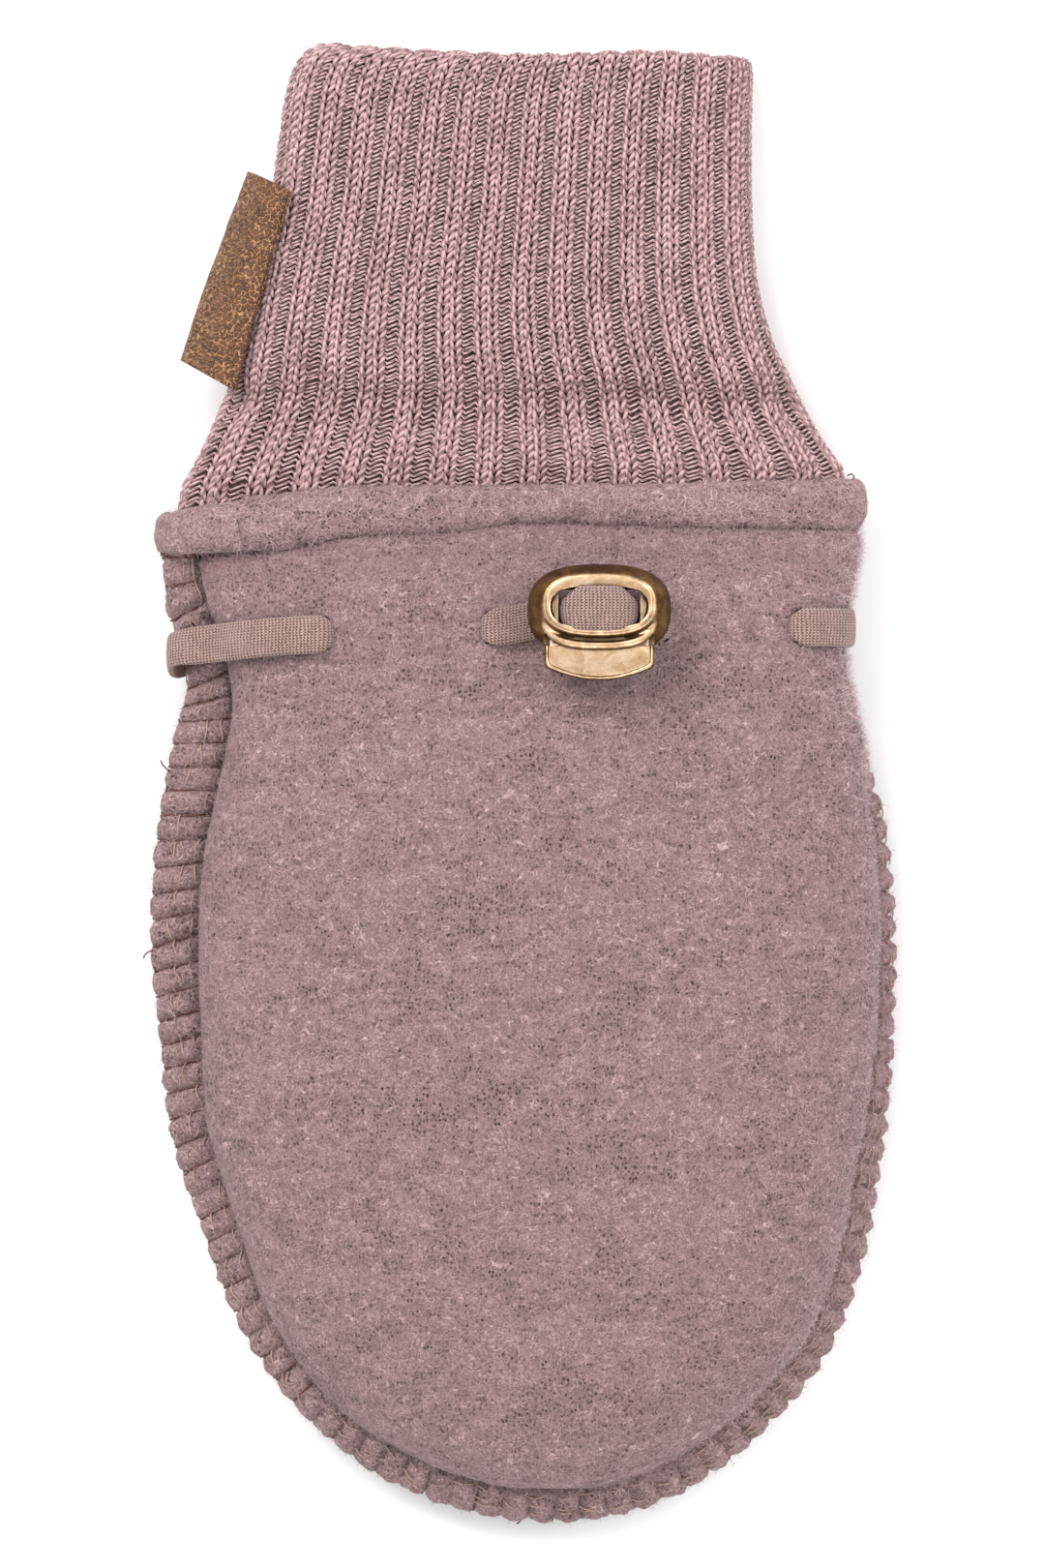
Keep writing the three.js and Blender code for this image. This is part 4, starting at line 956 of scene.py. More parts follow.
def yarn_material(name, dark, light, twist):
    """Fine plied yarn: a slanting stripe of plies along each strand, and a little fuzz."""
    n = Nodes(name)
    where = n.object_place()
    ply = n.wave(2 * math.pi * (twist * n.map_part(0) + 2.0 * n.map_part(1)))
    cloud = n.noise(where, 260, 3.0, 0.6, 0.4)
    hairs = n.noise(where, 4200, 3.0, 0.6, 2.0)
    shade = 0.16 * ply + 0.8 * hairs + 0.35 * cloud
    return n.finish(n.mix(n.steps(shade, 0.3, 0.85), dark, light), 0.82, 0.25, sheen=(0.2, 0.4),
                    tint=colour(235, 205, 205), normal=n.bump(0.5 * ply + 0.35 * hairs, 0.06, 0.8))


def painted_shade_ground_material(name, dark, light):
    """The knit's ground between its stitches, with fine crossing loops. Its dark colour is painted shade,
    standing in for the shadow between the stitches.
    """
    n = Nodes(name)
    where = n.object_place()
    loops = n.cells(where, 1700.0, 0.5)
    shade = 0.6 * loops + 0.5 * n.noise(where, 3000, 3.0, 0.6, 1.5)
    return n.finish(n.mix(n.steps(shade, 0.3, 0.75), light, dark), 0.9, 0.15,
                    normal=n.bump(-1.0 * loops, 0.15, 0.7))


def tape_material(name):
    """Flat woven elastic: fine wavy ribs across it, broken up by the warp. The map is in millimetres."""
    n = Nodes(name)
    where = n.object_place()
    warp = n.wave(n.map_part(1) * (2 * math.pi / TAPE_WARP_PITCH))
    bent = n.map_part(0) + 0.09 * warp + 0.5 * n.noise(where, 700, 2.0)
    cell = 0.65 * n.wave(bent * (2 * math.pi / TAPE_RIB_PITCH)) + 0.35 * warp
    cloud = n.noise(where, 500, 3.0, 0.6)
    hairs = n.noise(where, 4200, 3.0, 0.6, 2.0)
    shade = 0.42 * cell + 0.9 * hairs + 0.3 * cloud
    base = n.mix(n.steps(shade, 0.15, 0.95), colour(74, 53, 48), colour(190, 158, 149))
    return n.finish(base, 0.8, 0.2, sheen=(0.2, 0.4), normal=n.bump(cell, 0.14, 0.9))


def leather_material(name):
    """Pebbled tan leather, dusty along its fold. Its map runs from the sewn edge, 0, to the fold, 1."""
    n = Nodes(name)
    where = n.object_place()
    across = n.map_part(0)
    warp = n.add("VectorMath", {0: n.noise(where, 900, 2.0, 0.5), 1: (0.0006,) * 3}, operation="MULTIPLY")
    bent = n.add("VectorMath", {0: where, 1: warp}, operation="ADD")
    pebbles = n.cells(bent, 1500.0, 1.0, "DISTANCE_TO_EDGE")
    speckle = n.noise(where, 3300, 4.0, 0.7, 0.8)
    cloud = n.noise(where, 520, 4.0, 0.65, 0.8)
    dusty = n.clamped(n.steps(across, 0.35, 0.85), cloud + 0.35)
    ridges = n.steps(pebbles, 0.11, 0.02) * n.steps(speckle, 0.40, 0.60) * n.steps(across, 0.75, 0.35)
    base = n.mix(n.steps(cloud, 0.3, 0.7), colour(78, 45, 26), colour(116, 72, 44))
    base = n.mix(0.6 * n.steps(speckle, 0.58, 0.42), base, colour(50, 30, 18))
    base = n.mix(0.9 * ridges, base, colour(190, 142, 100))
    base = n.mix(dusty * n.steps(speckle, 0.46, 0.62), base, colour(162, 126, 94))
    height = n.steps(pebbles, 0.0, 0.25) + 0.6 * speckle
    return n.finish(base, 0.55, 0.4, normal=n.bump(height, 0.14, 0.9))


def brass_material(name):
    """Antique brass with clouds and fine pits. Faces that point up get a light colour of polish and faces
    that lean away a dark brown of patina; this is partly real polish and patina and partly painted highlight
    and painted shade from how the light falls.
    """
    n = Nodes(name)
    where = n.object_place()
    cloud = n.noise(where, 520, 5.0, 0.65, 0.6)
    pits = n.noise(where, 2900, 4.0, 0.7, 0.5)
    scratches = n.noise(n.moved(where, scale=(1.0, 9.0, 1.0)), 900, 4.0, 0.6)
    facing_up = n.part(n.add("NewGeometry", output=1), 2)
    # Painted light: the colour follows how far each face points up, lighter on the tops and darker down the
    # sides.
    polish_and_painted_highlight = n.steps(facing_up + 0.12 * (cloud - 0.5), 0.78, 0.995)
    patina_and_painted_shade = n.mix(n.steps(cloud, 0.35, 0.7), colour(78, 54, 30), colour(120, 90, 54))
    polish_and_highlight_brass = n.mix(n.steps(cloud, 0.3, 0.7), colour(206, 168, 124), colour(246, 216, 182))
    base = n.mix(polish_and_painted_highlight, patina_and_painted_shade, polish_and_highlight_brass)
    base = n.mix(0.5 * n.steps(pits, 0.54, 0.70), base, colour(120, 80, 58))
    rough = 0.25 * pits + 0.15 * scratches + 0.12 * (1.0 - polish_and_painted_highlight) + 0.14
    return n.finish(base, rough, metallic=1.0, normal=n.bump(0.5 * pits + 0.5 * scratches, 0.03, 0.5))


FLEECE_LOOK = fleece_material("brushed_fleece")
SEAM_LOOK = fleece_material("bound_fleece_edge", 0.37)
NAP_LOOK = nap_material("wool_nap", colour(108, 83, 83), colour(190, 161, 163))
# A paler copy of the wool nap for the rim and the band: the extra paleness is painted light, lifting the
# shade on their slopes.
RIM_NAP_PAINTED_LIGHT_LOOK = nap_material("rim_wool_painted_lighter", colour(136, 108, 109), colour(214, 184, 186))
# A paler copy of the wool nap for the fibres along the right side: the paleness is a painted halo of light
# at the edge.
FRINGE_PAINTED_HALO_LOOK = nap_material("wool_fringe_painted_halo", colour(176, 148, 152), colour(226, 204, 208))
KNIT_LOOK = yarn_material("rib_yarn", colour(112, 84, 86), colour(202, 169, 170), 1.6)
# The knit's ground is coloured darker than its yarn: painted shade between the stitches.
GROUND_PAINTED_SHADE_LOOK = painted_shade_ground_material("rib_ground_painted_shade", colour(60, 42, 44), colour(112, 84, 86))
THREAD_LOOK = yarn_material("overlock_thread", colour(62, 36, 34), colour(128, 86, 80), 9.0)
LOOPER_LOOK = yarn_material("looper_thread", colour(136, 104, 98), colour(210, 178, 168), 6.0)
TAPE_LOOK = tape_material("woven_elastic")
LEATHER_LOOK = leather_material("tan_leather")
BRASS_LOOK = brass_material("antique_brass")


# Fleece pieces

def border_fade(count, reach=4):
    """0 at both ends of a row of points and 1 from reach steps in."""
    step = np.arange(count)
    return np.minimum(np.minimum(step, step[::-1]) / reach, 1)


def relief(grid, normals, size, seed):
    """Soft uneven hollows and swells, fading to nothing at the grid's borders."""
    rows, columns = grid.shape[:2]
    lumps = 0.5 * soft_noise(grid, 9.0, seed) + 0.35 * soft_noise(grid, 4.0, seed + 1)
    lumps = lumps + 0.5 * soft_noise(grid * np.array([1, 1, 0]), 26.0, seed + 2)
    lumps = lumps + 0.25 * soft_noise(grid, 1.9, seed + 3)
    return grid + normals * (size * lumps * border_fade(rows)[:, None] * border_fade(columns))[..., None]


# Each piece of nap: how many fibres, its seed, how long they are and how high their tips lie, how wide they
# are, and the share that stands up
NAP = {
    "front_nap": (45500, 21, (0.6, 1.8), (0.03, 0.22), 0.042, 0.10),
    "side_fringe": (6500, 24, (0.7, 1.6), (0.15, 0.8), 0.03, 0.4),
    "right_edge_fuzz": (4000, 25, (0.5, 1.2), (0.03, 0.3), 0.035, 0.2),
    "left_edge_fuzz": (3000, 26, (0.5, 1.3), (0.05, 0.4), 0.035, 0.3),
    "crease_fuzz": (3500, 27, (0.6, 1.4), (0.1, 0.5), 0.04, 0.3),
    "back_nap": (3500, 22, (0.6, 1.8), (0.0, 0.05), 0.042, 0.0),
    "rim_nap": (13000, 33, (0.5, 1.3), (0.02, 0.22), 0.04, 0.25),
    "front_top_band_nap": (5472, 76, (0.6, 1.8), (0.03, 0.22), 0.042, 0.10),
    "back_top_band_nap": (3816, 86, (0.6, 1.8), (0.03, 0.22), 0.042, 0.10),
}
FIBRE_ROOT = 0.04
FIBRE_TAPER = np.array([1, 0.8, 0.25])
FIBRE_FACES = np.array([[0, 1, 3, 2], [2, 3, 5, 4]])


def nap(name, grid, normals, material, skip=None, crowd=1.0):
    """Short curved wool fibres, lying mostly flat, scattered over a grid's faces. crowd is how closely."""
    count, seed, length, lift, width, standing = NAP[name]
    rng = np.random.default_rng(seed)
    a, b = grid[1:, :-1] - grid[:-1, :-1], grid[:-1, 1:] - grid[:-1, :-1]
    area = (np.linalg.norm(np.cross(a, b), axis=-1) * crowd).ravel()
    picks = rng.choice(len(area), count, p=area / area.sum())
    i, j = np.unravel_index(picks, a.shape[:2])
    s, t = rng.uniform(0, 1, (2, count, 1))
    foot = grid[i, j] + a[i, j] * s + b[i, j] * t
    if skip is not None:
        keep = ~skip(foot)
        foot, i, j = foot[keep], i[keep], j[keep]
        count = len(foot)
    normal = normals[i, j]
    heading = unit(np.cross(normal, rng.normal(size=(count, 3))))
    aside = np.cross(normal, heading)
    long = rng.uniform(*length, (count, 1))
    high = rng.uniform(*lift, (count, 1))
    stands = rng.uniform(size=(count, 1)) < standing
    high = np.where(stands, high + long * rng.uniform(0.15, 0.4, (count, 1)), high)
    curl = rng.normal(0, 0.35, (count, 1)) * long
    middle = foot + heading * long * 0.5 + aside * curl * 0.6 + normal * (FIBRE_ROOT + 0.7 * high)
    tip = foot + heading * long + aside * curl * 0.1 + normal * high
    path = np.stack([foot + normal * FIBRE_ROOT, middle, tip], 1)
    half = unit(np.cross(np.gradient(path, axis=1), normal[:, None])) * width / 2
    half = half * FIBRE_TAPER[None, :, None]
    points = np.stack([path - half, path + half], 2)
    tint = rng.beta(2, 2, (count, 1, 1))
    along = np.array([0, 0.5, 1.0])[None, :, None]
    uv = np.stack([np.broadcast_to(value, (count, 3, 2)) for value in (along, tint)], -1)
    return make_piece(name, points, many(FIBRE_FACES, count, 6), material, uv=uv)


def near_slit(points):
    """True where a point lies over one of the slits."""
    over = np.zeros(len(points), bool)
    for x, y in slit_places():
        over |= (np.abs(points[:, 0] - x) < SLIT_HALF[0]) & (np.abs(points[:, 1] - y) < SLIT_HALF[1])
    return over


def slit_places():
    """Each slit's middle, a little to the side where the elastic comes down to it."""
    places = []
    for name, x in SLITS.items():
        shift = -SLIT_SHIFT if name in ("left", "rightOfLock") else SLIT_SHIFT
        places.append((x + shift, float(read(TAPE_LINE, "x", "front", x))))
    return places


def slit_cutters():
    """An upright prism through the front panel at each slit."""
    cutters = []
    sides, reach = 12, 6
    angle = ring_angles(sides)
    for x, y in slit_places():
        z = surface_z(x, y)
        outline = np.stack([x + SLIT_HALF[0] * np.cos(angle),
                            y + SLIT_HALF[1] * signed_power(np.sin(angle), 0.5)], -1)
        loops = [np.column_stack([outline, np.full(sides, z + high)]) for high in (-reach, reach)]
        cutters.append(make_piece("slit", loops, skin_quads(2, sides), FLEECE_LOOK))
    return cutters


def rounded_edge(grid, normals, rows):
    """Rolls a panel's outer face over towards its inner one along the top edge."""
    past = np.clip((rows - (BODY_TOP_Y - EDGE_ROUNDING)) / EDGE_ROUNDING, 0, 1)
    drop = np.zeros(len(grid))
    drop[:len(rows)] = EDGE_ROUNDING * (1 - np.sqrt(1 - 0.96 * past ** 2))
    return grid - normals * drop[:, None, None]


def front_panel():
    rows = body_rows(*FRONT_ROWS)
    outer, inner = front_rows(rows, 0), front_rows(rows, FLEECE)
    count = outer.shape[1]
    outer = np.concatenate([outer, end_row(rows[-1], 0, count)])
    inner = np.concatenate([inner, end_row(rows[-1], FLEECE, count)])
    normals = facing(grid_normals(outer), 1)
    outer = rounded_edge(relief(outer, normals, RELIEF_HEIGHT, 11), normals, rows)
    loops = wall_loops(outer, inner)
    panel = make_piece("front_panel", loops, skin_quads(*loops.shape[:2]), FLEECE_LOOK)
    cut(panel, slit_cutters())
    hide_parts("front_panel")
    return panel, front_wool(outer[:, 1:-1], normals[:, 1:-1])


def front_wool(face, up):
    """The front's nap, and the looser fibres along both its sides and its top edge.

    On the right they are loosest above RIM_SHOWS_BELOW, where the panel's own side is the mitten's edge. The
    right side's fibres are given a paler colour there, a painted halo of light."""
    side, side_up = face[:, SIDE_FROM:-1], up[:, SIDE_FROM:-1]
    steps = side.shape[1] - 1
    towards_edge = smoothstep(np.arange(steps), 0, steps)[None]
    bare = smoothstep(side[:-1, 0, 1], RIM_SHOWS_BELOW - 8, RIM_SHOWS_BELOW + 8)[:, None]
    left, top = slice(0, FUZZ_COLUMNS), slice(0, FUZZ_ROWS)
    return [
        nap("front_nap", face, up, NAP_LOOK, skip=near_slit),
        nap("side_fringe", side, side_up, FRINGE_PAINTED_HALO_LOOK, crowd=towards_edge * bare),
        nap("right_edge_fuzz", side, side_up, FRINGE_PAINTED_HALO_LOOK, crowd=towards_edge * (1 - bare)),
        nap("left_edge_fuzz", face[:, left], up[:, left], NAP_LOOK),
        nap("crease_fuzz", face[top], up[top], NAP_LOOK),
    ]


def back_panel():
    rows = body_rows(*BACK_ROWS)
    outer = back_rows(rows, 0)
    normals = facing(grid_normals(outer), -1)
    loops = wall_loops(outer, back_rows(rows, FLEECE))
    panel = make_piece("back_panel", loops, skin_quads(*loops.shape[:2]), FLEECE_LOOK)
    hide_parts("back_panel")
    return panel, nap("back_nap", outer[:, 1:-1], normals[:, 1:-1], NAP_LOOK)


# The overlocked rim and its threads

STITCHES = round(SEAM_LENGTH / STITCH_PITCH)
RIM_SECTION = np.array([
    [0, -GAP, -0.8], [0.45, 0, -1], [1, 0.7, -0.9], [1, 0, -0.4],
    [1, 0, 0.4], [1, 0.7, 0.92], [0.45, 0, 1], [0, -GAP, 0.8],
])


def rim_loops(length, phase, grow=0.0, sides=THREAD_LOOP):
    """Loops round the rim at distances along the seam. phase runs from 0 to 1 between two stitches.

    The first stretch is squared up to meet the turned band, and the rim swells where it stands steep."""
    at = seam_at(length_t(length))
    head = 1 - smoothstep(length, 0, RIM_HEAD)
    swell = np.maximum(np.sin(math.pi * phase) ** PILLOW_POWER, head ** 4)
    pinch = 1 - RIM_PINCH * np.exp(-(((at["root"][:, 1] - CHANNEL_Y) / RIM_PINCH_REACH) ** 2))
    sloping = smoothstep(-at["out"][:, 2], *RIM_SLOPES)
    steep = RIM_STEEP_GROWTH * sloping
    notch = NOTCH + RIM_STEEP_FILLS * sloping
    half = (SEAM_HALF * lerp(notch, PILLOW_TOP, swell) + grow + steep) * pinch
    scallop = SCALLOP * (1 - RIM_STEEP_FLATTENS * sloping)
    edge = at["length"] - scallop * (1 - swell) + grow + steep * RIM_STEEP_REACH
    along = edge[COL] * RIM_SECTION[:, 0] - RIM_SECTION[:, 1]
    up = half[COL] * RIM_SECTION[:, 2]
    leans = 1 - smoothstep(length_t(length), TIP_T * LEAN_FADES, TIP_T)
    lean = STITCH_LEAN * leans * smoothstep(length, 0, LEAN_STARTS)
    drift = lean[COL] * (along - edge[COL] / 2)
    loops = at["root"][COL] + sum(at[key][COL] * reach[..., None]
                                  for key, reach in (("out", along), ("up", up), ("tangent", drift)))
    level = at["crease"][:, 1] + RIM_HEAD_LIFT * head
    loops[..., 1] = lerp(loops[..., 1], level[COL], head[COL])
    return closed_curve(loops, sides)


def seam_rim():
    count = STITCHES * STEPS_A_STITCH + 1
    phase = np.arange(count) % STEPS_A_STITCH / STEPS_A_STITCH
    loops = rim_loops(np.linspace(0, SEAM_LENGTH, count), phase, sides=RIM_SIDES)
    normals = tube_normals(loops)
    lumps = 0.08 * soft_noise(loops, 1.6, 31) + 0.05 * soft_noise(loops, 0.8, 32)
    loops = loops + normals * lumps[..., None]
    rim = make_piece("seam_rim", loops, skin_quads(*loops.shape[:2]), SEAM_LOOK)
    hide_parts("seam_rim")
    closed, closed_normals = (np.concatenate([grid, grid[:, :1]], 1) for grid in (loops, normals))
    # The rim's nap is the paler wool: painted light.
    return rim, nap("rim_nap", closed, closed_normals, RIM_NAP_PAINTED_LIGHT_LOOK)


def overlock_threads():
    """At each stitch two strands cross the rim from the crease, round its edge and back underneath."""
    rng = np.random.default_rng(41)
    length = np.arange(0.5, STITCHES) * STITCH_PITCH + rng.normal(0, 0.1, STITCHES)
    length = np.clip(length - STITCH_PITCH / 2, 0.2, SEAM_LENGTH - 0.2)
    paths = []
    for shift in (-THREAD_OFFSET, THREAD_OFFSET):
        loops = rim_loops(length + shift, np.zeros(STITCHES), grow=0.12)
        wobble = rng.normal(0, 0.05, (STITCHES, 1, 3)) + 0.05 * rng.normal(size=loops.shape)
        paths.append((loops + wobble)[:, 2:-1])
    paths = np.concatenate(paths)
    normals = unit(paths - paths.mean(1, keepdims=True))
    return strand_piece("overlock_threads", paths, normals, THREAD_RADIUS, 4, THREAD_LOOK, "overlock", 7.0)


def looper_threads():
    """Short light strands that wander from each stitch to the next, on the rim's top and round its edge."""
    rng = np.random.default_rng(42)
    start = np.arange(STITCHES - 1) * STITCH_PITCH
    steps = 7
    share = np.linspace(0, 1, steps)
    columns_and_bows = ((12, 0.06), (17, 0.3), (18, 0.55), (20, 0.4))
    paths = []
    for column, bow in columns_and_bows:
        some = start[rng.uniform(size=len(start)) < 0.75][COL]
        one_each = (len(some), 1)
        reach = rng.uniform(0.35, 1.0, one_each)
        place = rng.uniform(0, 1, one_each) * (1 - reach) + reach * share
        length = some + place * STITCH_PITCH
        loops = rim_loops(length.ravel(), (place * 0.96 + 0.02).ravel(), grow=0.05)
        turns = rng.uniform(0.6, 1.6, one_each)
        sway = bow * np.sin(math.pi * turns * share + rng.uniform(0, 6, one_each))
        sway = sway * rng.uniform(0.3, 0.8, one_each)
        out = seam_at(length_t(length))["out"]
        paths.append(loops[:, column].reshape(-1, steps, 3) + out * sway[..., None])
    paths = np.concatenate(paths)
    normals = np.broadcast_to(np.array([0.1, 0, 1.0]), paths.shape)
    return strand_piece("looper_threads", paths, normals, LOOPER_RADIUS, 4, LOOPER_LOOK, "overlock", 3.0)


def loose_ends():
    """Four thread tails that stand out from the seam, as the photograph shows them."""
    tails = [
        [(-40.2, 1.0, 7.6), (-40.6, 1.4, 7.7), (-41.0, 1.8, 7.7), (-41.3, 2.1, 7.7), (-41.5, 2.6, 7.6)],
        [(-42.2, -19.2, 7.0), (-42.7, -19.3, 7.0), (-43.1, -19.5, 7.0), (-43.4, -19.8, 7.0),
         (-43.5, -20.2, 7.0)],
        [(-0.5, -84.0, 4.9), (-0.3, -84.5, 4.9), (-0.1, -84.9, 4.9), (-0.3, -85.2, 4.9), (-0.6, -85.3, 4.9)],
        [(37.4, 34.0, 10.0), (37.9, 34.6, 10.2), (38.2, 35.2, 10.2), (37.9, 35.5, 10.0), (37.4, 35.3, 9.8)],
    ]
    paths = np.array(tails, float)
    normals = np.broadcast_to(np.array([0, 0, 1.0]), paths.shape)
    return strand_piece("loose_ends", paths, normals, 0.1, 6, THREAD_LOOK, "overlock", 3.0)


# The turned band

def band(name, from_share, to_share, seed):
    """One half of the turned band, from one share of the way round the cuff to another."""
    steps = int((to_share - from_share) * BAND_STEPS)
    shares = np.linspace(from_share, to_share, steps)
    near = 0.002
    ring, ahead, behind = (cuff_rings(BAND_RING_Y, 0, (shares + shift) % 1)[0][0]
                           for shift in (0, near, -near))
    along = unit(ahead - behind)
    normal = np.stack([-along[:, 2], np.zeros(steps), along[:, 0]], -1)
    thick = lerp(BAND_BACK, BAND_FRONT, smoothstep(normal[:, 2], -0.2, 1))
    section = closed_curve(BAND_SECTION, BAND_SIDES)
    out = BAND_TO_CUFF + thick[COL] * section[:, 0]
    loops = ring[COL] + normal[COL] * out[..., None]
    bottom, top = (read(BAND_EDGES, "x", edge, loops[..., 0]) for edge in ("bottom", "top"))
    loops[..., 1] = lerp(bottom, top, section[:, 1])
    normals = tube_normals(loops)
    lumps = 0.1 * soft_noise(loops, 5.0, seed) + 0.05 * soft_noise(loops, 1.8, seed + 1)
    loops = loops + normals * (lumps * (section[:, 0] > 0.3))[..., None]
    piece = make_piece(name, loops, skin_quads(*loops.shape[:2]), FLEECE_LOOK)
    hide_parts(name)
    outside = slice(3, BAND_SIDES - 2)
    # The band's nap is the paler wool: painted light.
    return piece, nap(name + "_nap", loops[:, outside], normals[:, outside], RIM_NAP_PAINTED_LIGHT_LOOK)


# The rib cuff

def repeat_shares(surface, wale, repeat):
    """Where the two knit columns and the sunk column of a repeat lie, and their widths in millimetres."""
    _, _, round_mm = surface.at(wale, repeat / RIB_REPEATS)
    width = round_mm / RIB_REPEATS
    knit = KNIT_WIDTH + (width - REPEAT_WIDTH) * KNIT_STRETCH
    first, second, sunk = ((repeat + KNIT_START + part) / RIB_REPEATS
                           for part in (0.5 * knit / width, 1.5 * knit / width, (2 * knit / width + 1) / 2))
    return first, second, sunk, knit, width - 2 * knit, round_mm


def knit_wale_rows(surface):
    """Distances up the knit of its rows, over the fold and a little way down inside."""
    return np.arange(0.4, surface.outside_length + surface.fold_length + 6, ROW_PITCH)


# The four points of one leg of a V stitch: across in column widths, along in rows, high in millimetres, and
# the yarn's size
LEG = table(["across", "along", "high", "size"], [
    [0.46, 0.70, -0.30, 0.72],
    [0.36, 0.24, 0.0, 1.05],
    [0.22, -0.26, 0.02, 1.05],
    [0.06, -0.72, -0.32, 0.66],
])
OUTER_LEG_DROP = 0.12


def knit_legs(surface, repeats, seed):
    """Paths of the two legs of each V stitch in the raised columns."""
    rng = np.random.default_rng(seed)
    wale, repeat = np.meshgrid(knit_wale_rows(surface), repeats, indexing="ij")
    first, second, _, knit, _, round_mm = repeat_shares(surface, wale, repeat.astype(float))

    def uneven(size):
        return rng.normal(0, size, wale.shape)[..., None]

    paths, normals, radii = [], [], []
    for centre, outer_side in ((first, -1), (second, 1)):
        for side in (-1, 1):
            across = side * LEG["across"] * knit[..., None] + uneven(0.03)
            along = wale[..., None] + LEG["along"] * ROW_PITCH + uneven(0.03)
            point, normal, _ = surface.at(along, centre[..., None] + across / round_mm[..., None])
            drop = OUTER_LEG_DROP if side == outer_side else 0.0
            high = LEG["high"] - drop + uneven(0.025)
            paths.append((point + normal * high[..., None]).reshape(-1, 4, 3))
            normals.append(normal.reshape(-1, 4, 3))
            size = 1 + 0.06 * rng.normal(size=wale.shape)[..., None]
            radii.append((size * LEG["size"] * YARN_RADIUS * (knit / KNIT_WIDTH)[..., None]).reshape(-1, 4))
    return [np.concatenate(part) for part in (paths, normals, radii)]


def purl_bars(surface):
    """Small wavy bars across the sunk columns, as the backs of knit loops show.

    The front half has two a row and the back half one."""
    rng = np.random.default_rng(53)
    steps = 5
    place = np.linspace(-0.60, 0.60, steps)
    wave = 0.26 * ROW_PITCH * np.sin(place * 2 * math.pi)
    bow = 0.16 * (1 - np.cos(place * math.pi))
    paths, normals = [], []
    for shift, sink, repeats in ((0.0, 0.20, RIB_REPEATS), (0.5 * ROW_PITCH, 0.30, FRONT_REPEATS)):
        wale, repeat = np.meshgrid(knit_wale_rows(surface) + shift, np.arange(repeats), indexing="ij")
        _, _, sunk, _, gap, round_mm = repeat_shares(surface, wale, repeat.astype(float))
        along = wale[..., None] + wave + rng.normal(0, 0.04, wale.shape)[..., None]
        point, normal, _ = surface.at(along, sunk[..., None] + place * gap[..., None] / round_mm[..., None])
        stretched = 0.12 * smoothstep(gap, 1.0, 2.2)[..., None]
        high = 0.05 * rng.normal(size=wale.shape)[..., None] - sink - bow + stretched
        paths.append((point + normal * high[..., None]).reshape(-1, steps, 3))
        normals.append(normal.reshape(-1, steps, 3))
    return np.concatenate(paths), np.concatenate(normals)


def cuff_ground(surface):
    """The cuff's shell under its stitches, with a ditch along each sunk column. Its dark colour is painted
    shade.
    """
    columns = surface.columns // 2
    wale, share = np.meshgrid(np.arange(0, surface.length, GROUND_STEP), np.arange(columns) / columns,
                              indexing="ij")
    point, normal, _ = surface.at(wale, share)
    ditch = np.exp(-(((share * RIB_REPEATS % 1 - 0.76) / 0.17) ** 2))
    outside = 1 - smoothstep(wale, surface.outside_length + 6, surface.outside_length + 9)
    depth = lerp(0.05, GROUND_DEPTH + 0.12 * ditch, outside)
    loops = point - normal * depth[..., None]
    shell = make_piece("rib_cuff", loops, skin_quads(*loops.shape[:2], closed=True), GROUND_PAINTED_SHADE_LOOK)
    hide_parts("rib_cuff")
    return shell


def rib_cuff():
    surface = CuffSurface()
    shell = cuff_ground(surface)
    front, back = np.arange(FRONT_REPEATS), np.arange(FRONT_REPEATS, RIB_REPEATS)
    stitches = []
    for name, repeats, seed, sides in (("rib_front_stitches", front, 51, 6),
                                       ("rib_back_stitches", back, 52, 4)):
        stitches.append(strand_piece(name, *knit_legs(surface, repeats, seed), sides, KNIT_LOOK, "rib_knit"))
    stitches.append(strand_piece("rib_ladders", *purl_bars(surface), PURL_RADIUS, 4, KNIT_LOOK, "rib_knit"))
    return shell, stitches


# The leather tab

def tab_section(width):
    """The tab cut across as one loop: out along a layer, round the fold and back, then the same inside."""
    layer, slot = LABEL_LAYER + LABEL_SLOT / 2, LABEL_SLOT / 2
    bend = width - layer
    run = np.linspace(0, 1, 26)
    turn = np.linspace(math.pi / 2, -math.pi / 2, 13)[1:-1]
    points = []
    for half, way in ((layer, 1), (slot, -1)):
        points += [(bend * s, way * half) for s in run]
        points += [(bend + half * math.cos(a), way * half * math.sin(a)) for a in turn]
        points += [(bend * s, -way * half) for s in run[::-1]]
    section = np.array(points)
    section[:, 1] *= lerp(LABEL_PRESSED, 1, smoothstep(section[:, 0], 0, LABEL_PRESSED_REACH))
    return section


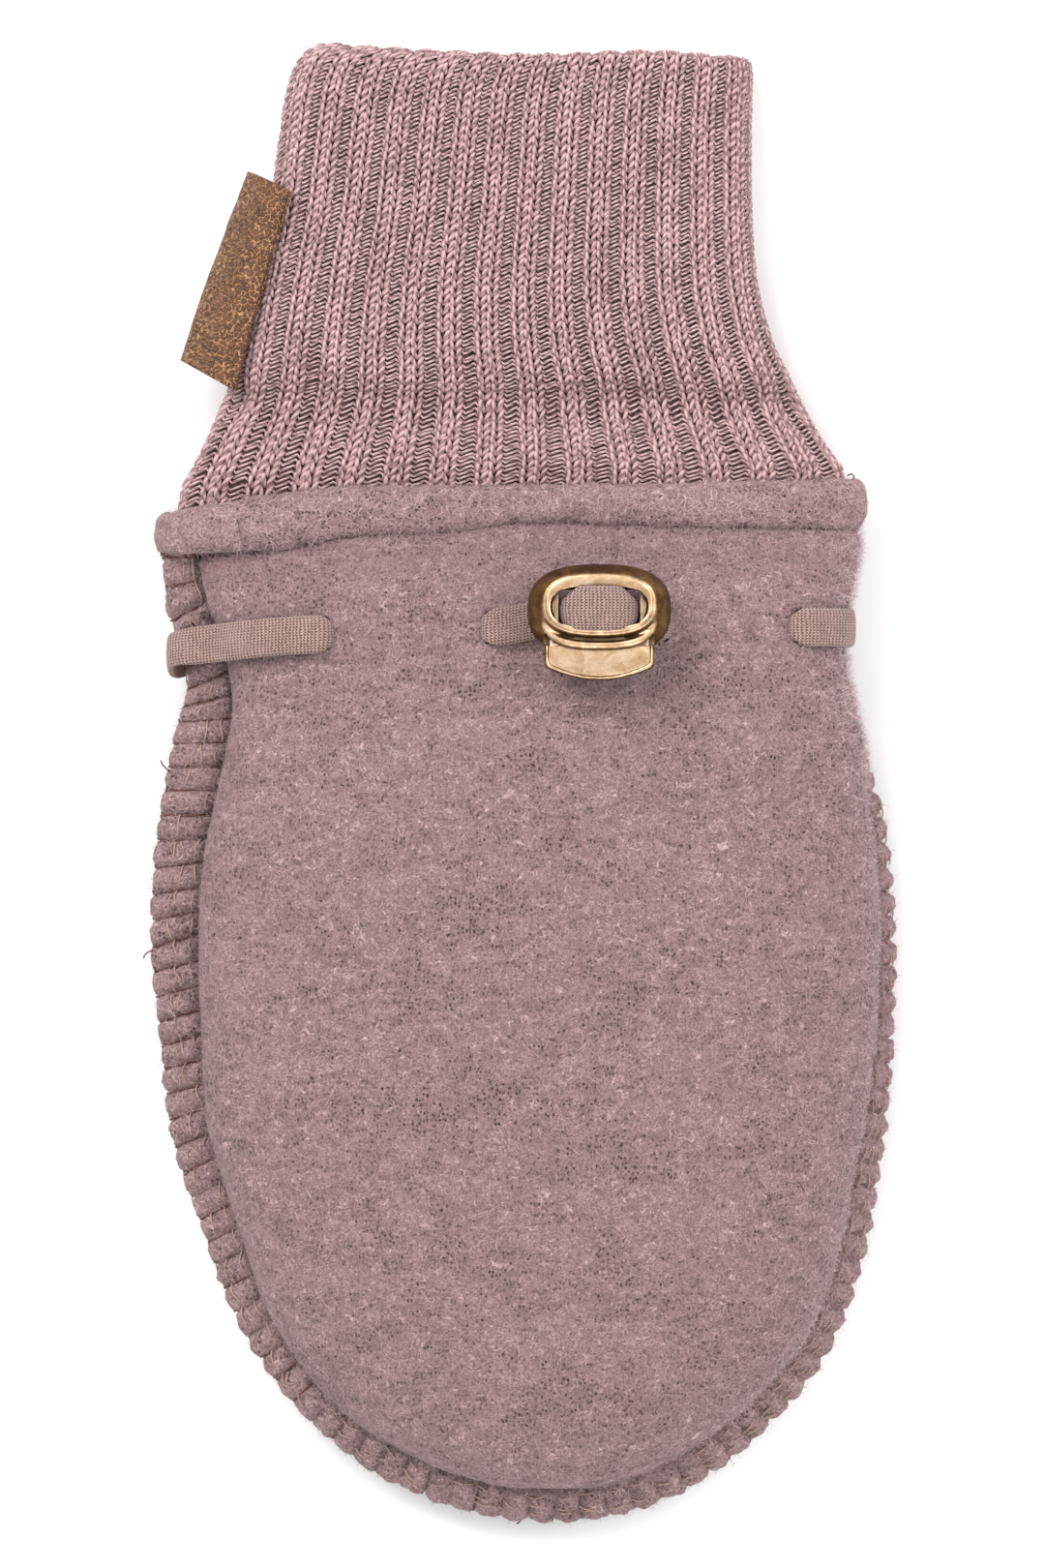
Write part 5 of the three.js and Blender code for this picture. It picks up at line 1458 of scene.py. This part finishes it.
def leather_tab():
    corners = np.arange(len(LABEL["x"]))
    stations = np.linspace(0, corners[-1], 46)
    rows = {key: np.interp(stations, corners, LABEL[key]) for key in LABEL}
    tops = []
    for x, y in zip(LABEL["x"], LABEL["y"]):
        left_half = cuff_rings(y, 0, np.arange(180) / 720)[0][0]
        tops.append(np.interp(x, left_half[:, 0], left_half[:, 2]))
    top = np.interp(stations, corners, tops) + LABEL_LIFT
    sewn = np.stack([rows["x"], rows["y"], top], -1)
    fold = np.stack([rows["foldX"], rows["foldY"], top - rows["hang"]], -1)
    across = unit(fold - sewn)
    width = np.linalg.norm(fold - sewn, axis=-1)
    line = unit(np.array([LABEL["x"][0] - LABEL["x"][-1], LABEL["y"][0] - LABEL["y"][-1], 0.0]))
    up = unit(np.cross(across, line))
    up = np.where(up[:, 2:] < 0, -up, up)
    loops, places = [], []
    for k, station in enumerate(stations):
        section = tab_section(width[k])
        loops.append(sewn[k] + across[k] * section[:, :1] + up[k] * section[:, 1:])
        along = np.full(len(section), station / corners[-1])
        places.append(np.column_stack([section[:, 0] / width[k], along]))
    loops = np.array(loops)
    bumps = 0.035 * soft_noise(loops, 1.1, 61) + 0.05 * soft_noise(loops, 4.0, 62)
    loops = loops + up[COL] * bumps[..., None]
    tab = make_piece("leather_tab", loops, skin_quads(*loops.shape[:2]), LEATHER_LOOK,
                     uv=np.array(places))
    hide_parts("leather_tab")
    return tab


# The elastic

def along_fleece(from_x, to_x, offset):
    """Route points every 3 mm or so, at an offset over the front panel or, where negative, under it."""
    inset, nearest = (0, max) if offset > 0 else (FLEECE, min)
    points = []
    steps = max(round(abs(to_x - from_x) / 3), 1)
    for x in np.linspace(from_x, to_x, steps + 1):
        y = float(read(TAPE_LINE, "x", "front", x))
        height = nearest(surface_z(x, y + side * TAPE_WIDTH, inset) for side in (-0.5, 0, 0.5))
        steep = math.hypot(1, surface_z(x + 0.5, y, inset) - surface_z(x - 0.5, y, inset))
        points.append([x, height + offset * steep])
    return points


def tape_route():
    """The elastic's middle line all round: over the front through the slits and the lock, and the back."""
    over = GAP + TAPE_THICK / 2
    under = -(over + GAP)
    turn = 0.01
    eye_left, eye_right = LOCK_X - TAPE_EYE_X, LOCK_X + TAPE_EYE_X
    bridge_z = LOCK_BACK_Z + LOCK_THICK - RECESS_DEPTH + over
    crest = TAPE_EYE_X * 0.3
    front = [
        *LEFT_WRAP,
        *along_fleece(-31.5, SLITS["left"] - turn, over + 0.2),
        *along_fleece(SLITS["left"], SLITS["leftOfLock"], under),
        *along_fleece(SLITS["leftOfLock"] + turn, eye_left, over),
        [eye_left, bridge_z],
        [LOCK_X - crest, bridge_z + TAPE_BRIDGE_RISE],
        [LOCK_X + crest, bridge_z + TAPE_BRIDGE_RISE],
        [eye_right, bridge_z],
        *along_fleece(eye_right, SLITS["rightOfLock"] - turn, over),
        *along_fleece(SLITS["rightOfLock"], SLITS["right"], under),
        *along_fleece(SLITS["right"] + turn, 33.6, over + 0.4),
        *RIGHT_WRAP,
    ]
    lowest = 3
    line = [(x, float(read(TAPE_LINE, "x", "front" if z > lowest else "back", x)), z) for x, z in front]
    line += [(x, float(read(TAPE_LINE, "x", "back", x)), over) for x in BACK_STOPS]
    return np.array(line)


def round_corners(route, radius, sharp=0.25):
    """The closed route with a curve in place of each corner that turns by more than sharp radians."""
    points = []
    n = len(route)
    for k in range(n):
        here = route[k]
        back, ahead = route[k - 1] - here, route[(k + 1) % n] - here
        far_back, far_ahead = np.linalg.norm(back), np.linalg.norm(ahead)
        bend = math.pi - math.acos(np.clip(back @ ahead / (far_back * far_ahead), -1, 1))
        if bend < sharp:
            points.append(here)
            continue
        reach = min(radius, far_back / 2.2, far_ahead / 2.2)
        start, end = here + back / far_back * reach, here + ahead / far_ahead * reach
        for t in np.linspace(0, 1, 9):
            points.append((1 - t) ** 2 * start + 2 * t * (1 - t) * here + t * t * end)
    return np.array(points)


def tape_path():
    """Even points along the elastic's route, and how far along it each one lies."""
    line = round_corners(tape_route(), TAPE_BEND)
    loop = np.concatenate([line, line[:1]])
    length = np.concatenate([[0], np.cumsum(np.linalg.norm(np.diff(loop, axis=0), axis=1))])
    place = np.arange(TAPE_STEPS) / TAPE_STEPS * length[-1]
    path = np.stack([np.interp(place, length, loop[:, k]) for k in range(3)], -1)
    for _ in range(2):
        path = (np.roll(path, 1, 0) + 2 * path + np.roll(path, -1, 0)) / 4
    return path, place


def tape_widths(x, z):
    """Half widths below and above the elastic's middle, and how far it is in the lock and on its bridge.

    It narrows in the lock, at the slits and round the sides, and its upper corners on the bridge are cut."""
    on_front = smoothstep(z, *TAPE_FRONT_Z)
    away = np.abs(x - LOCK_X)
    in_lock = on_front * (1 - smoothstep(away - TAPE_EYE_X, *LOCK_TAPER))
    above = smoothstep(z - LOCK_BACK_Z, *LOCK_REACH)
    bridge = dome(away / TAPE_BRIDGE_REACH, TAPE_BRIDGE_SQUARENESS)
    width_in_lock = lerp(TAPE_IN_EYE, TAPE_ON_BRIDGE * bridge, above)
    below = lerp(TAPE_WIDTH, width_in_lock, in_lock) / 2
    cut_corner = np.clip((TAPE_CUT_FROM - away) * TAPE_CUT_SLOPE, TAPE_CUT_LEAST, TAPE_ON_BRIDGE / 2)
    upper = np.minimum(below, lerp(TAPE_WIDTH, cut_corner, in_lock * above))
    for slit in SLITS.values():
        close = np.clip(1 - np.abs(x - slit) / TAPE_END, 0, 1)
        below = below * (1 - (1 - TAPE_END_SHARE) * close ** 2 * on_front)
    below = below * (1 - WRAP_NARROWS * smoothstep(np.abs(x), WRAP_FROM, WRAP_TO))
    return below, np.minimum(below, upper), in_lock, bridge * above


def elastic():
    path, place = tape_path()
    below, upper, in_lock, on_bridge = tape_widths(path[:, 0], path[:, 2])
    path[:, 1] = lerp(path[:, 1], LOCK_Y + EYE_Y + TAPE_BRIDGE_SHIFT, in_lock)
    left_side = (path[:, 0] < 0) * smoothstep(np.abs(path[:, 0]), WRAP_FROM - 1, WRAP_TO)
    path[:, 1] -= WRAP_FALLS * left_side * (1 - smoothstep(path[:, 2], *WRAP_FALL_Z))
    along = unit((np.roll(path, -1, 0) - np.roll(path, 1, 0)) * np.array([1, 0, 1]))
    out = np.stack([-along[:, 2], np.zeros(TAPE_STEPS), along[:, 0]], -1)
    angle = ring_angles(TAPE_SIDES)
    wide = signed_power(np.cos(angle), TAPE_EDGE_POWER)
    arch = (TAPE_ARCH + TAPE_BRIDGE_ARCH * on_bridge)[COL]
    face = signed_power(np.sin(angle), TAPE_FACE_POWER) * (0.5 - 0.02 * arch)
    high = face + 0.4 * arch * (1 - wide ** 2) - TAPE_SINKS
    loops = path[COL] + out[COL] * high[..., None]
    sideways = np.where(wide > 0, upper[COL], below[COL]) * wide
    loops[..., 1] += sideways
    uv = np.stack(np.broadcast_arrays(place[COL], sideways), -1)
    quads = skin_quads(TAPE_STEPS, TAPE_SIDES, closed=True)
    tape = make_piece("elastic", loops, quads, TAPE_LOOK, uv=uv)
    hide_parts("elastic")
    return tape


# The cord lock

def oval(half, count, shift=(0.0, 0.0), grow=0.0, squareness=LOCK_SQUARENESS):
    """A squarish oval outline of given half sizes, grown by so much all round."""
    angle = ring_angles(count, 0.5)
    return np.stack([
        shift[0] + (half[0] + grow) * signed_power(np.cos(angle), 2 / squareness),
        shift[1] + (half[1] + grow) * signed_power(np.sin(angle), 2 / squareness),
    ], -1)


def rectangle(left, right, low, high):
    return np.array([(left, low), (right, low), (right, high), (left, high)])


def plate_outline(half, low, shoulder, top):
    """The plate behind the button, or the room for it: straight sides and cut upper corners."""
    cut_x = half - PLATE_CHAMFER
    return np.array([(-half, low), (half, low), (half, shoulder), (cut_x, top), (-cut_x, top),
                     (-half, shoulder)])


def stacked(name, outlines, heights, body=MITTEN):
    """A closed body through outlines at heights, all in the lock's own place."""
    loops = np.array([np.column_stack([o, np.broadcast_to(z, len(o))]) for o, z in zip(outlines, heights)])
    loops = loops + np.array([LOCK_X, LOCK_Y, LOCK_BACK_Z])
    return make_piece(name, loops, skin_quads(*loops.shape[:2]), BRASS_LOOK, body=body)


def prism(name, outline, low, high, body=MITTEN):
    return stacked(name, [outline] * 2, (low, high), body)


# The ridge and the groove along the lock's lower side, from its side, share 0, to its raised ring, share 1
GROOVE = table(["share", "height"], [
    [0, 3.5], [0.06, 4.2], [0.15, 4.75], [0.25, 5.1], [0.36, 5.33], [0.48, 5.42], [0.58, 5.36],
    [0.66, 5.12], [0.73, 4.98], [0.80, 5.10], [0.88, 5.52], [1, PLATEAU_Z],
])
SHOULDER_ROUND = 1.4


def lock_shoulder(share, angle):
    """The height of the body between its side, share 0, and its raised ring, share 1.

    It is a plain rounded shoulder, but along the lower side it has a ridge and a groove."""
    rise = (1 - (1 - share) ** SHOULDER_ROUND) ** (1 / SHOULDER_ROUND)
    plain = SHOULDER_Z + (PLATEAU_Z - SHOULDER_Z) * rise
    grooved = np.interp(share, GROOVE["share"], GROOVE["height"])
    return lerp(plain, grooved, smoothstep(-np.sin(angle), 0.25, 0.95))


def lock_shell():
    """The lock's body as one closed form: rounded foot, shoulder, raised ring and the recess inside it."""
    count = 120
    angle = ring_angles(count, 0.5)
    recess_z = LOCK_THICK - RECESS_DEPTH
    outlines, heights = [], []
    for inset, z in ((1.7, 0), (0.75, 0.12), (0.2, 0.6), (0, 1.4)):
        outlines.append(oval(LOCK_HALF, count, grow=-inset))
        heights.append(z)
    for share in np.linspace(0, 1, 24) ** 1.3:
        half = [lerp(foot, ring, share) for foot, ring in zip(LOCK_HALF, PLATEAU_HALF)]
        outlines.append(oval(half, count, (0, PLATEAU_Y * share)))
        heights.append(lock_shoulder(share, angle))
    for inset, z in ((0.10, LOCK_THICK - 0.06), (0.26, LOCK_THICK)):
        outlines.append(oval(PLATEAU_HALF, count, (0, PLATEAU_Y), -inset))
        heights.append(z)
    for grow, z in ((0.2, LOCK_THICK), (0.08, 5.74), (0.02, 5.6), (0, 5.3), (0, recess_z + 0.2),
                    (-0.2, recess_z), (-1.4, recess_z)):
        outlines.append(oval(RECESS_HALF, count, (0, EYE_Y), grow))
        heights.append(z)
    return stacked("lock_body", outlines, heights)


def lock_body():
    """The shell, with two eyes for the elastic and the room that the button and its plate slide in."""
    body = lock_shell()
    eyes = [prism("eye", oval(EYE_HALF, 32, (x, EYE_Y), squareness=2.8), -1, 8) for x in (-EYE_X, EYE_X)]
    room, travel = BUTTON_ROOM, BUTTON_TRAVEL
    plate = plate_outline(PLATE_HALF + room, BUTTON_SHOULDER - 0.5, PLATE_SHOULDER + travel,
                          PLATE_TOP + travel + room)
    cavity = prism("cavity", plate, PLATE_BACK - room, PLATE_BACK + PLATE_THICK + room)
    wide = BUTTON_HALF + room
    below = -9
    opening = rectangle(-wide, wide, below, BUTTON_SHOULDER + travel + room)
    mouth = prism("mouth", opening, BUTTON_BACK - room, BUTTON_BACK + BUTTON_THICK + room)
    cut(body, [*eyes, cavity, mouth])
    soften_edges(body, 0.1)
    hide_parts("lock_body")


def soften_edges(piece, width):
    """Small bevels on the sharp edges, with the large faces still shading flat."""
    bevel = piece.modifiers.new("edges", "BEVEL")
    bevel.width = width * MM
    bevel.segments = 2
    bevel.limit_method = "ANGLE"
    bevel.angle_limit = math.radians(50)
    bevel.harden_normals = False
    apply_modifiers(piece)
    piece.data.polygons.foreach_set("use_smooth", np.full(len(piece.data.polygons), True))
    piece.data.set_sharp_from_angle(angle=math.radians(38))


def button_outline(inset):
    """The button seen from above. Point by point its right half mirrors its left, from the bottom up."""
    half = BUTTON_HALF - inset
    bottom, corner = BUTTON_LOWEST + inset, BUTTON_CORNER + inset
    right = [(x, lerp(bottom, corner, (x / half) ** 2)) for x in np.linspace(0.02, half - 0.3, 14)]
    right += [(half - 0.08, corner + 0.06), (half, corner + 0.3), (half, BUTTON_SHOULDER - 0.8),
              (half, BUTTON_SHOULDER), (0.02, BUTTON_SHOULDER)]
    return np.array(right + [(-x, y) for x, y in right[::-1]])


def lock_plunger():
    """The push button, with a raised line along its edge, and the plate behind it with its two windows."""
    back, top = BUTTON_BACK, BUTTON_BACK + BUTTON_THICK
    profile = [(0.3, back), (0.08, back + 0.12), (0, back + 0.4), (0, top - 0.3), (0.06, top - 0.12),
               (0.16, top - 0.03), (0.28, top), (0.38, top - 0.05), (0.46, top - 0.16), (0.6, top - 0.18),
               (0.9, top - 0.14)]
    insets, heights = zip(*profile)
    button = stacked("lock_plunger", [button_outline(inset) for inset in insets], heights, BUTTON)
    plate = plate_outline(PLATE_HALF, BUTTON_SHOULDER - 0.4, PLATE_SHOULDER, PLATE_TOP)
    cut(button, [prism("plate", plate, PLATE_BACK, PLATE_BACK + PLATE_THICK, BUTTON)], "UNION")
    windows = [rectangle(x - WINDOW_HALF, x + WINDOW_HALF, WINDOW_LOW, WINDOW_HIGH) for x in (-EYE_X, EYE_X)]
    cut(button, [prism("window", hole, -1, 7, BUTTON) for hole in windows])
    soften_edges(button, 0.08)
    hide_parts("lock_plunger")


# Floor, light and camera

def floor():
    size = 4.0
    mesh = bpy.data.meshes.new("floor")
    mesh.from_pydata([(x, y, 0) for x, y in rectangle(-size, size, -size, size)], [], [(0, 1, 2, 3)])
    n = Nodes("pale_floor")
    grain = n.noise(n.object_place(), 30, 3.0)
    mesh.materials.append(n.finish(n.mix(grain, (0.93, 0.93, 0.93, 1), (0.95, 0.95, 0.95, 1)), 0.9, 0.1))
    plane = bpy.data.objects.new("floor", mesh)
    bpy.context.scene.collection.objects.link(plane)


def area_light(name, place, size, power):
    """A soft lamp that points at the mitten."""
    light = bpy.data.lights.new(name, "AREA")
    light.shape = "RECTANGLE"
    light.size, light.size_y = size
    light.energy = power
    lamp = bpy.data.objects.new(name, light)
    lamp.location = place
    lamp.rotation_euler = (-Vector(place)).to_track_quat("-Z", "Y").to_euler()
    bpy.context.scene.collection.objects.link(lamp)


def studio():
    world = bpy.data.worlds.new("studio")
    bpy.context.scene.world = world
    world.use_nodes = True
    sky = world.node_tree.nodes["Background"].inputs
    sky["Color"].default_value = (1, 1, 1, 1)
    sky["Strength"].default_value = 0.75
    area_light("key", (-0.5, 0.55, 0.75), (0.6, 0.6), 9.5)
    area_light("fill", (0.6, 0.25, 0.7), (0.6, 0.6), 4.5)
    area_light("low", (0.1, -0.7, 0.6), (0.7, 0.5), 2.5)
    bpy.context.scene.view_settings.view_transform = "Standard"


def camera():
    """Straight above the mitten and far off, so that its edges hardly lean."""
    frame_height = 0.18
    distance = 1.4
    data = bpy.data.cameras.new("camera")
    data.sensor_width = 36
    data.lens = data.sensor_width * distance / frame_height
    data.clip_end = 10
    eye = bpy.data.objects.new("camera", data)
    eye.location = (0.1 * MM, -0.1 * MM, 0.010 + distance)
    bpy.context.scene.collection.objects.link(eye)
    bpy.context.scene.camera = eye


# The mitten

def build():
    camera()
    studio()
    floor()
    front, front_nap = front_panel()
    back, back_nap = back_panel()
    rim, rim_nap = seam_rim()
    threads = [overlock_threads(), looper_threads(), loose_ends()]
    left, right, gap = BAND_SPLIT["left"], BAND_SPLIT["right"], BAND_SPLIT["gap"]
    band_front, band_front_nap = band("front_top_band", left, right, 71)
    band_back, band_back_nap = band("back_top_band", right + gap, 1 + left - gap, 81)
    cuff, stitches = rib_cuff()
    tab = leather_tab()
    tape = elastic()
    lock_body()
    lock_plunger()


build()
